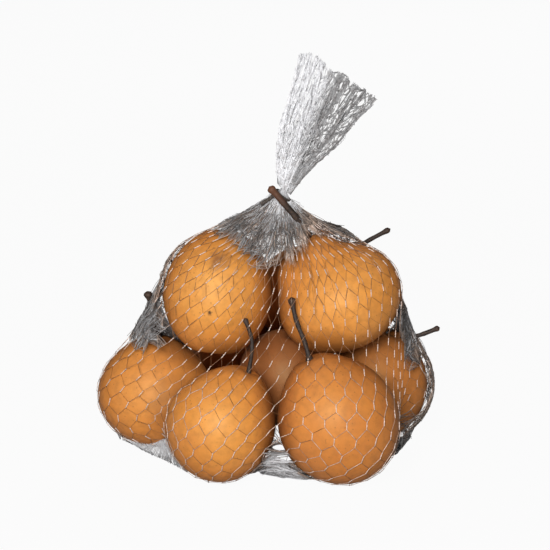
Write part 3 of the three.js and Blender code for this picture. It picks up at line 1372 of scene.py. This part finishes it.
@dataclass
class Yarn:
    """Turns the net's links into threads: twisted pairs for legs, looser pairs between them."""

    leg_offset: float = 0.15
    leg_radius: float = 0.155
    leg_turns: float = 1.0
    leg_steps: int = 7
    strand_radius: float = 0.14
    strand_part: float = 0.11
    strand_steps: int = 5
    crossing_share: float = 0.55
    widest_bow: float = 0.7
    overlap: float = 0.04
    flatness: float = 0.7
    frayed_strands: int = 1
    fraying: float = 1.0
    seed: int = 5

    def twisted(self, start: np.ndarray, end: np.ndarray, batch: TubeBatch, value: np.ndarray) -> None:
        """Adds twisted pairs.

        Args:
            start: One end of each leg.
            end: The other end.
            batch: Where the tubes go.
            value: A number stored on each leg.
        """
        share = np.linspace(-self.overlap, 1 + self.overlap, self.leg_steps)
        run = end - start
        side, up = frames(unit(run), OFF_THREADS)
        middle = start[:, None] + share[None, :, None] * run[:, None]
        for strand in (0, np.pi):
            turn = strand + 2 * np.pi * self.leg_turns * share
            offset = np.cos(turn)[None, :, None] * side[:, None]
            offset = offset + np.sin(turn)[None, :, None] * up[:, None]
            path = middle + self.leg_offset * offset
            radius = np.full(path.shape[:2], self.leg_radius)
            batch.add(path, radius, np.repeat(value[:, None], self.leg_steps, axis=1))

    def strands(
        self,
        start: np.ndarray,
        end: np.ndarray,
        length: np.ndarray,
        batch: TubeBatch,
        value: np.ndarray,
        heap: Heap | None,
    ) -> None:
        """Adds pairs of fine strands, which bow out where they are slack and bend over the pears.

        Args:
            start: One end of each pair.
            end: The other end.
            length: The length of the strands.
            batch: Where the tubes go.
            value: A number stored on each pair.
            heap: What the strands lie on, or None in the air.
        """
        draw = np.random.default_rng(self.seed)
        chord = np.linalg.norm(end - start, axis=1)
        loose = np.clip(value, 0, 1)
        # a shallow arc bows by the root of 3/8 of its chord times its spare length
        bow = np.sqrt(0.375 * chord * np.clip(length - chord, 0, None))
        bow = np.minimum(bow, self.widest_bow) * loose
        frayed = np.flatnonzero(loose > 0.5)
        every = np.arange(len(start))
        for number in range(2 + self.frayed_strands):
            chosen = every if number < 2 else frayed
            spread = draw.normal(0, self.fraying, (2, len(chosen), 3)) * loose[chosen, None]
            spread *= min(1, number / 2)
            ends = start[chosen] + spread[0], end[chosen] + spread[1]
            self.arcs(*ends, bow[chosen], batch, value[chosen], heap, draw)

    def arcs(
        self,
        start: np.ndarray,
        end: np.ndarray,
        bow: np.ndarray,
        batch: TubeBatch,
        value: np.ndarray,
        heap: Heap | None,
        draw: np.random.Generator,
    ) -> None:
        """Adds one strand for each start and end.

        Args:
            start: One end of each strand.
            end: The other end.
            bow: How far each bows out.
            batch: Where the tubes go.
            value: A number stored on each strand.
            heap: What the strands lie on, or None in the air.
            draw: The source of random numbers.
        """
        share = np.linspace(0, 1, self.strand_steps)[None, :, None]
        run = end - start
        side, up = frames(unit(run), OFF_THREADS)
        turn = draw.uniform(0, 2 * np.pi, len(run))[:, None]
        lean = np.cos(turn) * side + self.flatness * np.sin(turn) * up
        reach = (self.strand_part + bow * draw.uniform(0.4, 1, len(run)))[:, None, None]
        arch = 4 * share * (1 - share)
        path = start[:, None] + share * run[:, None] + reach * arch * lean[:, None]
        if heap:
            flat = path.reshape(-1, 3)
            heap.hold_off(flat, self.strand_radius)
            path = flat.reshape(path.shape)
        thinned = 1 - (1 - self.crossing_share) * np.clip(-value, 0, 1)
        radius = np.repeat(self.strand_radius * thinned[:, None], self.strand_steps, axis=1)
        batch.add(path, radius, np.repeat(value[:, None], self.strand_steps, axis=1))


@dataclass
class Pleats:
    """Gathered net: fine threads that run out from the tie, close together and then thinning out."""

    count: int
    shortest: float
    longest: float
    steps: int = 11
    clumps: int = 13
    clumping: float = 0.16
    wander: float = 0.035
    thinnest: float = 0.09
    thickest: float = 0.14
    tone_spread: float = 0.25
    taper: float = 0.85
    touch: float = 7.0
    overrun: float = 2.5
    tries: int = 40
    seed: int = 21

    def stop(self, place: Callable, turn: np.ndarray, clearance: Callable) -> np.ndarray:
        """How far out each thread runs before it meets a pear.

        Args:
            place: Gives points from how far out they are and their angles round the tie.
            turn: The threads' angles.
            clearance: Gives how far points are off the pears.

        Returns:
            One distance for each thread.
        """
        met = np.full(self.count, self.longest)
        for out in np.linspace(self.longest, self.shortest, self.tries):
            touching = clearance(place(np.full(self.count, out), turn)) < self.touch
            met[touching] = out
        return met

    def add(
        self, place: Callable, tone: Callable, batch: TubeBatch, clearance: Callable | None = None
    ) -> None:
        """Adds the threads.

        Args:
            place: Gives points from how far out they are and their angles round the tie.
            tone: Gives the look at points.
            batch: Where the tubes go.
            clearance: Gives how far points are off the pears, or None away from them.
        """
        draw = np.random.default_rng(self.seed)
        turn = draw.uniform(0, 2 * np.pi, self.count)
        turn += self.clumping * np.sin(self.clumps * turn)
        length = self.shortest + (self.longest - self.shortest) * draw.uniform(0, 1, self.count) ** 2
        if clearance:
            furthest = self.stop(place, turn, clearance) + draw.exponential(self.overrun, self.count)
            length = np.minimum(self.longest * draw.uniform(0.5, 1, self.count), furthest)
        phase = draw.uniform(0, 2 * np.pi, self.count)
        lighter = draw.normal(0, self.tone_spread, self.count)
        paths, tones = [], []
        for share in np.linspace(0, 1, self.steps):
            swing = self.wander * share * np.sin(phase + 9 * share)
            points = place(share * length, turn + swing)
            paths.append(points)
            tones.append(tone(points) + lighter)
        path, value = np.stack(paths, axis=1), np.stack(tones, axis=1)
        thick = draw.uniform(self.thinnest, self.thickest, self.count)
        taper = np.sqrt(1 - self.taper * np.linspace(0, 1, self.steps) ** 3)
        batch.add(path, thick[:, None] * taper, np.clip(value, -1, 2))


@dataclass
class Webbing:
    """Fine threads across the mesh, wherever slack net lies over itself."""

    count: int = 9400
    across_share: float = 0.5
    overlap: float = 0.1
    steps: int = 4
    bow: float = 0.4
    thinnest: float = 0.11
    thickest: float = 0.19
    tone_spread: float = 0.25
    least_slack: float = 0.12
    least_look: float = 0.6
    gap: float = 0.5
    seed: int = 33

    def add(self, mesh: Mesh, heap: Heap, slackness: Callable, density: Callable, batch: TubeBatch) -> None:
        """Adds the threads, each from one diagonal of the mesh to the next.

        Args:
            mesh: The tightened mesh.
            heap: The pears, which they stay off.
            slackness: Gives how slack the net is at points.
            density: Gives how thickly it is gathered there.
            batch: Where the tubes go.
        """
        draw = np.random.default_rng(self.seed)
        start = mesh.nodes[mesh.diagonals[:, 0]]
        run = mesh.nodes[mesh.diagonals[:, 1]] - start
        middle = start + run / 2
        number = np.arange(len(middle)).reshape(-1, mesh.columns)
        beside = np.roll(number, -1, axis=1).ravel()
        below = np.vstack([number[2:], number[-2:]]).ravel()
        area = np.linalg.norm(np.cross(middle[beside] - middle, middle[below] - middle), axis=1)
        share = density(middle) * area
        tries = 2 * self.count
        chosen = draw.choice(len(middle), tries, p=share / share.sum())
        level = draw.uniform(0, 1, tries) < self.across_share
        partner = np.where(level, beside[chosen], below[chosen])
        places = draw.uniform(-self.overlap, 1 + self.overlap, (2, tries, 1))
        begin = start[chosen] + places[0] * run[chosen]
        finish = start[partner] + places[1] * run[partner]
        loose = np.minimum(slackness(begin), slackness(finish)) > self.least_slack
        kept = np.flatnonzero(loose)[: self.count]
        begin, finish = begin[kept], finish[kept]
        lean = draw.normal(0, self.bow, (len(kept), 3))
        out = np.linspace(0, 1, self.steps)[None, :, None]
        path = begin[:, None] + out * (finish - begin)[:, None] + 4 * out * (1 - out) * lean[:, None]
        flat = path.reshape(-1, 3)
        heap.hold_off(flat, self.gap)
        look = slackness((begin + finish) / 2)
        look = np.maximum(look, self.least_look) + draw.normal(0, self.tone_spread, len(kept))
        shape = (len(kept), self.steps)
        thick = np.broadcast_to(draw.uniform(self.thinnest, self.thickest, (len(kept), 1)), shape)
        look = np.broadcast_to(np.clip(look, -0.4, 2)[:, None], shape)
        batch.add(flat.reshape(path.shape), thick, look)


@dataclass(frozen=True)
class Skirt:
    """Slack net that hangs from an upper line to a lower one, as fine crossed threads."""

    upper: tuple[Point, ...]
    lower: tuple[Point, ...]
    count: int
    look: float
    seed: int
    steps: int = 4
    slant: float = 0.12
    radius: float = 0.15
    scatter: float = 0.25

    def add(self, batch: TubeBatch) -> None:
        """Adds the threads.

        Args:
            batch: Where the tubes go.
        """
        draw = np.random.default_rng(self.seed)
        upper, lower = (smooth_route(list(edge), self.count) for edge in (self.upper, self.lower))
        start = draw.uniform(0, 1, self.count)
        finish = np.clip(start + self.slant * draw.choice([-1.0, 1.0], self.count), 0, 1)
        top = upper[(start * (self.count - 1)).astype(int)]
        bottom = lower[(finish * (self.count - 1)).astype(int)]
        down = np.linspace(0, 1, self.steps)[None, :, None]
        path = top[:, None] * (1 - down) + bottom[:, None] * down
        path += draw.normal(0, self.scatter, (self.count, 1, 3)) * [1, 1, 0]
        batch.add(path, np.full(path.shape[:2], self.radius), np.full(path.shape[:2], self.look))


@dataclass(frozen=True)
class SlackPlace:
    """A place where the net hangs slack: its look paints the threads dark grey as painted shade at 1 and
    paints them whiter, as painted light, towards 2.
    """

    middle: Point
    radius: float
    clear: float
    look: float = 1.0
    density: float = 1.0
    soft_edge: float = 8.0

    def slackness(self, points: np.ndarray, clearance: np.ndarray) -> np.ndarray:
        """How slack the net is at each point.

        Args:
            points: Points, one row each.
            clearance: How far each is off the pears.

        Returns:
            0 outside the place or near a pear, and the place's look inside it.
        """
        inside = self.radius - np.linalg.norm(points - np.array(self.middle), axis=1)
        return self.look * ramp(clearance, self.clear, 3) * ramp(inside, 0, self.soft_edge)


@dataclass
class Net:
    """The whole net: the bag round the heap, the neck and the fan."""

    heap: Heap
    neck: Neck = field(default_factory=Neck)
    yarn: Yarn = field(default_factory=Yarn)
    fan_yarn: Yarn = field(default_factory=lambda: Yarn(fraying=0.4, frayed_strands=2, strand_steps=4))
    slack_places: tuple[SlackPlace, ...] = (
        # under the tie, and behind the upper pears
        SlackPlace((-8, -5, 136), 33, 4.0, 1.0, 3.0),
        SlackPlace((34, 13, 120), 22, 1.6, 1.0, 1.5),
        SlackPlace((-28, 9, 132), 26, 1.2),
        SlackPlace((56, 48, 104), 24, 3.5),
        # down the left side
        SlackPlace((-64, 10, 108), 26, 1.4, 1.0, 1.4),
        SlackPlace((-72, 0, 87), 33, 4.0, 1.2, 3.0),
        SlackPlace((-60, -16, 74), 11, 0.8, 1.1, 3.0),
        # down the right side
        SlackPlace((90, 6, 68), 32, 2.4, 1.15, 2.4),
        SlackPlace((69, -12, 80), 12, 0.8, 1.1, 4.0),
        SlackPlace((108, 14, 34), 30, 1.8),
        # at the floor
        SlackPlace((5, -52, 4), 30, 1.0, 1.75, 3.4),
        SlackPlace((-70, -14, -14), 34, 1.2, 1.7, 3.0),
        SlackPlace((74, -4, 6), 26, 1.5, 1.4, 1.2),
    )
    bag_pleats: Pleats = field(default_factory=lambda: Pleats(count=1600, shortest=8, longest=40, steps=8))
    streaks: Pleats = field(
        default_factory=lambda: Pleats(
            count=44, shortest=58, longest=108, steps=32, clumping=0, wander=0.02, tone_spread=0, seed=8
        )
    )
    side_folds: tuple[Skirt, ...] = (
        Skirt(
            upper=((-61, -3, 88), (-58.5, -4, 82), (-55.5, -5, 75.5), (-50.5, -6, 69), (-44.5, -7, 64)),
            lower=((-70, 8, 62.5), (-64, 9, 63), (-58, 9, 62), (-51, 9, 60), (-46, 8, 57)),
            count=300, look=1.1, seed=43,
        ),
        Skirt(
            upper=((72.5, -2, 87), (71.5, -4, 81), (69.2, -6, 75.5), (64.3, -7, 70)),
            lower=((79, 16, 58), (75, 17, 61), (70, 18, 62.5), (65, 18, 63)),
            count=170, look=1.1, seed=47,
        ),
    )
    webbing: Webbing = field(default_factory=Webbing)
    floor_skirt: Skirt = Skirt(
        upper=((-87, 1, 11), (-79, -8.5, 8), (-66, -15, 8.5), (-57, -24, 15), (-51.5, -37, 18)),
        lower=((-85, 12, 0.5), (-76, 2, 0.5), (-67, -10, 0.5), (-55, -23.5, 0.5), (-45, -37, 0.5)),
        count=240, look=1.68, seed=41,
    )
    fan_pleats: Pleats = field(default_factory=lambda: Pleats(count=600, shortest=0.3, longest=1))
    pleat_gap: float = 0.7
    dash_length: float = 9.0
    thread_shade_strength: float = 0.85
    bunching_depth: float = 16.0
    bunching_fade: float = 14.0

    def build(self, leg_finish: bpy.types.Material, strand_finish: bpy.types.Material) -> None:
        """Works out the threads and makes them.

        Args:
            leg_finish: The finish of the legs.
            strand_finish: The finish of the finer threads.
        """
        bag = Bag(self.heap, self.neck).draw_in()
        LOG.info("bag drawn in over %d rings", len(bag.rings))
        mesh = Mesh(self.heap, self.neck).lay_on(bag).tighten()
        LOG.info("net tightened, %d rows of %d legs", mesh.rows, mesh.columns)
        legs = self.dress_legs("net_legs", mesh.nodes, mesh.legs, leg_finish, self.tone)
        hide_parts("net_bag")
        self.dress_strands(mesh, strand_finish)
        self.dress_slack(bag, mesh, strand_finish)
        LOG.info("net dressed round the heap")
        fan = Fan(self.neck).lay()
        self.dress_legs("fan_legs", fan.nodes, fan.legs[fan.columns :], leg_finish, fan.whiteness)
        self.dress_fan(fan, mesh, strand_finish)
        LOG.info("fan built above the tie")

    def dress_strands(self, mesh: Mesh, finish: bpy.types.Material) -> None:
        """Makes the bag's finer threads, which join its legs.

        Args:
            mesh: The tightened mesh.
            finish: The threads' finish.
        """
        batch = TubeBatch(sides=3)
        start, end = mesh.nodes[mesh.diagonals[:, 0]], mesh.nodes[mesh.diagonals[:, 1]]
        tones = self.tone((start + end) / 2)
        # Painted shade: strands that turn off their leg's line, and strands where the net turns from the
        # light, are darkened.
        darker = np.maximum(mesh.crossing(), self.thread_shade_strength * self.thread_shade((start + end) / 2))
        tones -= darker * (1 - np.clip(tones, 0, 1))
        self.yarn.strands(start, end, mesh.diagonal_lengths, batch, tones, self.heap)
        batch.piece("net_strands", finish, "tone")

    def dress_slack(self, bag: Bag, mesh: Mesh, finish: bpy.types.Material) -> None:
        """Makes the gathered net under the tie and the slack net round the heap.

        Args:
            bag: The smooth bag.
            mesh: The tightened mesh.
            finish: The threads' finish.
        """
        batch = TubeBatch(sides=3)
        self.bag_pleats.add(self.pleat_places(bag, mesh), self.tone, batch, self.heap.clearance)
        self.streaks.add(self.pleat_places(bag, mesh), self.glint_dashes, batch)
        for side_fold in self.side_folds:
            side_fold.add(batch)
        batch.piece("net_pleats", finish, "tone")
        batch = TubeBatch(sides=3)
        self.webbing.add(mesh, self.heap, self.slackness, self.density, batch)
        self.floor_skirt.add(batch)
        batch.piece("net_webbing", finish, "tone")

    def dress_fan(self, fan: Fan, mesh: Mesh, finish: bpy.types.Material) -> None:
        """Makes the fan's finer threads and its pleats.

        Args:
            fan: The fan above the tie.
            mesh: The net below it.
            finish: The threads' finish.
        """
        nodes, links = self.join_fan(fan, mesh)
        batch = TubeBatch(sides=3)
        start, end = nodes[links[:, 0]], nodes[links[:, 1]]
        lengths = np.full(len(links), fan.diagonal_length)
        self.fan_yarn.strands(start, end, lengths, batch, fan.whiteness((start + end) / 2), None)
        batch.piece("fan_strands", finish, "tone")
        batch = TubeBatch(sides=3)
        self.fan_pleats.add(fan.place, fan.whiteness, batch)
        batch.piece("fan_pleats", finish, "tone")

    def pleat_places(self, bag: Bag, mesh: Mesh) -> Callable:
        """Where the bag's pleats run.

        Args:
            bag: The smooth bag.
            mesh: The mesh, whose twist they follow.

        Returns:
            A function that gives points from their depths under the tie and their angles.
        """
        depths = bag.depths()

        def place(depth: np.ndarray, turn: np.ndarray) -> np.ndarray:
            """Points on the bag, held off the pears.

            Args:
                depth: How far each lies under the tie.
                turn: Its angle.

            Returns:
                One point for each pair.
            """
            ring = np.interp(depth, depths, np.arange(len(depths)))
            points = bag.sample(ring, turn + mesh.twist * ring / len(bag.rings))
            self.heap.hold_off(points, self.pleat_gap)
            return points

        return place

    def join_fan(self, fan: Fan, mesh: Mesh) -> tuple[np.ndarray, np.ndarray]:
        """Runs the fan's lowest threads down to the bag's first row.

        Args:
            fan: The fan above the tie.
            mesh: The net below it.

        Returns:
            All the nodes, and the diagonals between them.
        """
        nodes = np.vstack([fan.nodes, mesh.nodes[: mesh.columns]])
        column = np.arange(fan.columns)
        lowest = len(fan.nodes) - fan.columns + column
        first = len(fan.nodes) + column * mesh.columns // fan.columns
        return nodes, np.vstack([fan.diagonals, np.stack([lowest, first], axis=1)])

    def slackness(self, points: np.ndarray) -> np.ndarray:
        """How slack the net is at each point, from 0 on a pear to 1 hanging between pears."""
        clearance = self.heap.clearance(points)
        return np.max([place.slackness(points, clearance) for place in self.slack_places], axis=0)

    def density(self, points: np.ndarray) -> np.ndarray:
        """How thickly slack net is gathered.

        Args:
            points: Points, one row each.

        Returns:
            A share for each point.
        """
        clearance = self.heap.clearance(points)
        shares = [place.density * place.slackness(points, clearance) for place in self.slack_places]
        return np.max(shares, axis=0)

    def tone(self, points: np.ndarray) -> np.ndarray:
        """The look of the net at each point: 0 on a pear, 1 hanging slack in painted shade and 2 bunched at
        the neck.
        """
        bunched_from = self.neck.middle[2] - self.bunching_depth
        return self.slackness(points) + ramp(points[:, 2], bunched_from, self.bunching_fade)

    def glint_dashes(self, points: np.ndarray) -> np.ndarray:
        """The look of gathered threads on the pears: painted shade, broken by pale dashes of painted glint.
        """
        phase = 2 * np.pi * points[:, 2] / self.dash_length + 1.9 * points[:, 0] + 1.3 * points[:, 1]
        return np.where(np.sin(phase) > 0.5, 0.0, -1.0)

    def thread_shade(self, points: np.ndarray) -> np.ndarray:
        """Painted shade on the threads: dark where they lie close on the upper and the side pears, which
        turn from the light.

        Args:
            points: Points, one row each.

        Returns:
            From 0 to 1 for each point.
        """
        across, deep, high = points.T
        left = ramp(-across, 12, 15) * ramp(deep, -36, 12)
        return np.max([left, ramp(across, 62, 8), ramp(high, 56, 12)], axis=0)

    def dress_legs(
        self, name: str, nodes: np.ndarray, links: np.ndarray, finish: bpy.types.Material, tone: Callable
    ) -> bpy.types.Object:
        """Makes the legs of a net.

        Args:
            name: The piece's name.
            nodes: The net's nodes.
            links: The legs.
            finish: The thread's finish.
            tone: Gives each leg's look from its middle.

        Returns:
            The legs' object.
        """
        batch = TubeBatch()
        start, end = nodes[links[:, 0]], nodes[links[:, 1]]
        self.yarn.twisted(start, end, batch, tone((start + end) / 2))
        return batch.piece(name, finish, "tone")


# ---- tie ----


@dataclass
class TwistTie:
    """A flat coated wire strip round the neck, its two ends twisted together."""

    neck: Neck
    width: float = 2.4
    thickness: float = 0.8
    lean: float = math.radians(38)
    slack: float = 0.6
    crimp: float = 0.12
    crimps: int = 9
    ends: tuple = ((3.3, -4.5, 149.8), (0.6, -5.6, 146.9), (-4.4, -6.0, 143.6))
    end_radius: float = 0.75
    end_gap: float = 0.42
    end_turns: float = 2.5
    steps: int = 64
    sides: int = 12
    end_steps: int = 36

    def build(self, coat: bpy.types.Material) -> None:
        """Makes the band and its twisted ends.

        Args:
            coat: The strip's finish.
        """
        steps, sides = self.steps, self.sides
        turn = np.linspace(0, 2 * np.pi, steps, endpoint=False)
        radius = self.neck.radius / math.cos(self.lean - self.neck.lean) + self.slack
        edge = 2 * np.pi * np.arange(sides) / sides
        thick = np.sign(np.cos(edge)) * np.abs(np.cos(edge)) ** 0.6 * self.thickness / 2
        tall = np.sign(np.sin(edge)) * np.abs(np.sin(edge)) ** 0.45 * self.width / 2
        crimp = self.crimp * np.sin(self.crimps * turn)
        reach = radius + self.thickness / 2 + thick[None, :] + crimp[:, None]
        across = np.array([math.cos(self.lean), 0, -math.sin(self.lean)])
        normal = np.array([math.sin(self.lean), 0, math.cos(self.lean)])
        corners = (
            np.array(self.neck.middle)
            + (reach * np.cos(turn)[:, None])[..., None] * across
            + (reach * np.sin(turn)[:, None])[..., None] * np.array([0.0, 1.0, 0.0])
            + (np.ones((steps, 1)) * tall[None, :])[..., None] * normal
        )
        number = np.arange(steps * sides).reshape(steps, sides)
        ahead, beside = np.roll(number, -1, axis=0), np.roll(number, -1, axis=1)
        both = np.roll(ahead, -1, axis=1)
        faces = np.stack([number, ahead, both, beside], axis=-1).reshape(-1, 4).tolist()
        band = make_piece("twist_tie", corners.reshape(-1, 3), faces, coat)
        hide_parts("neck_tie")
        self.build_ends(coat)
        LOG.info("twist tie built")

    def build_ends(self, coat: bpy.types.Material) -> None:
        """Makes the two ends, twisted round each other.

        Args:
            coat: The strip's finish.
        """
        steps = self.end_steps
        path = smooth_route(list(self.ends), steps)
        side, up = frames(unit(np.gradient(path, axis=0)), (0.0, 1.0, 0.0))
        batch = TubeBatch(sides=8)
        for strand in (0, np.pi):
            turn = strand + np.linspace(0, 2 * np.pi * self.end_turns, steps)
            offset = np.cos(turn)[:, None] * side + np.sin(turn)[:, None] * up
            radius = np.full((1, steps), self.end_radius)
            batch.add((path + self.end_gap * offset)[None], radius, np.zeros((1, steps)))
        batch.piece("twist_tie_ends", coat, "plain")


# ---- studio ----


@dataclass
class Studio:
    """Pale floor, soft frontal light and the camera."""

    aim: Point = (3.0, -14.0, 106.0)
    distance: float = 1100.0
    elevation: float = math.radians(17)
    lens: float = 132.9
    sensor_width: float = 36.0
    sees_to: float = 20.0
    floor_half: float = 9.0
    key_power: float = 16.2
    key_size: float = 0.55
    key_offset: Point = (-150.0, 0.0, 150.0)
    back_power: float = 9.0
    back_size: float = 1.2
    back_offset: Point = (300.0, 1300.0, 900.0)
    sky: float = 0.05

    def build(self) -> None:
        """Sets up floor, light and camera."""
        self.lay_floor()
        self.place_camera()
        self.place_lights()
        LOG.info("studio set")

    def eye(self) -> Vector:
        """The camera's place in metres."""
        back = Vector((0, -math.cos(self.elevation), math.sin(self.elevation)))
        return (Vector(self.aim) + self.distance * back) * MM

    def lay_floor(self) -> None:
        """Lays the paper floor, at the height the part stands on."""
        half = self.floor_half
        corners = [(-half, -half, 0), (half, -half, 0), (half, half, 0), (-half, half, 0)]
        mesh = bpy.data.meshes.new("floor")
        mesh.from_pydata(corners, [], [(0, 1, 2, 3)])
        mesh.materials.append(FloorPaper().make())
        floor = bpy.data.objects.new("floor", mesh)
        floor.location.z = CAD_BOX[0][2]
        bpy.context.scene.collection.objects.link(floor)

    def place_camera(self) -> None:
        """Puts the camera in front, a little above the heap."""
        data = bpy.data.cameras.new("camera")
        data.lens = self.lens
        data.sensor_width = self.sensor_width
        data.clip_end = self.sees_to
        camera = bpy.data.objects.new("camera", data)
        camera.location = self.eye()
        look = Vector(self.aim) * MM - camera.location
        camera.rotation_euler = look.to_track_quat("-Z", "Y").to_euler()
        bpy.context.scene.collection.objects.link(camera)
        bpy.context.scene.camera = camera

    def place_light(self, name: str, place: Vector, power: float, size: float) -> bpy.types.Object:
        """Hangs a round soft box that faces the heap.

        Args:
            name: The light's name.
            place: Where it hangs, in metres.
            power: Its power in watts.
            size: Its diameter in metres.

        Returns:
            The light's object.
        """
        data = bpy.data.lights.new(name, "AREA")
        data.energy = power
        data.shape = "DISK"
        data.size = size
        light = bpy.data.objects.new(name, data)
        light.location = place
        look = Vector(self.aim) * MM - place
        light.rotation_euler = look.to_track_quat("-Z", "Y").to_euler()
        bpy.context.scene.collection.objects.link(light)
        return light

    def flag_off(self, pieces: tuple[str, ...]) -> None:
        """Keeps the soft box by the camera off pieces, as if by a black card.

        Args:
            pieces: The names of the pieces.
        """
        shaded = bpy.data.collections.new("shaded_from_key")
        bpy.data.objects["key"].light_linking.receiver_collection = shaded
        for name in pieces:
            shaded.objects.link(bpy.data.objects[name])
        for entry in shaded.collection_objects:
            entry.light_linking.link_state = "EXCLUDE"

    def place_lights(self) -> None:
        """A soft box by the camera, a wide one behind the heap and a faint even sky."""
        self.place_light("key", self.eye() + Vector(self.key_offset) * MM, self.key_power, self.key_size)
        behind = self.place_light("behind", Vector(self.back_offset) * MM, self.back_power, self.back_size)
        behind.visible_glossy = False
        world = bpy.data.worlds.new("sky")
        world.use_nodes = True
        background = world.node_tree.nodes["Background"]
        background.inputs["Color"].default_value = (1.0, 1.0, 1.0, 1.0)
        background.inputs["Strength"].default_value = self.sky
        bpy.context.scene.world = world
        bpy.context.scene.view_settings.view_transform = "Standard"


def main() -> None:
    """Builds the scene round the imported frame."""
    logging.basicConfig(level=logging.INFO, format="%(name)s: %(message)s")
    studio = Studio()
    studio.build()
    heap = make_heap()
    bark = StemBark().make()
    heap.build(PearSkin().make(), bark)
    net = Net(heap)
    net.build(NET_LEG.make(), NET_STRAND.make())
    TwistTie(net.neck).build(TieCoat().make())
    studio.flag_off(("pear_back", "pear_back_low"))


if __name__ == "__main__":
    main()
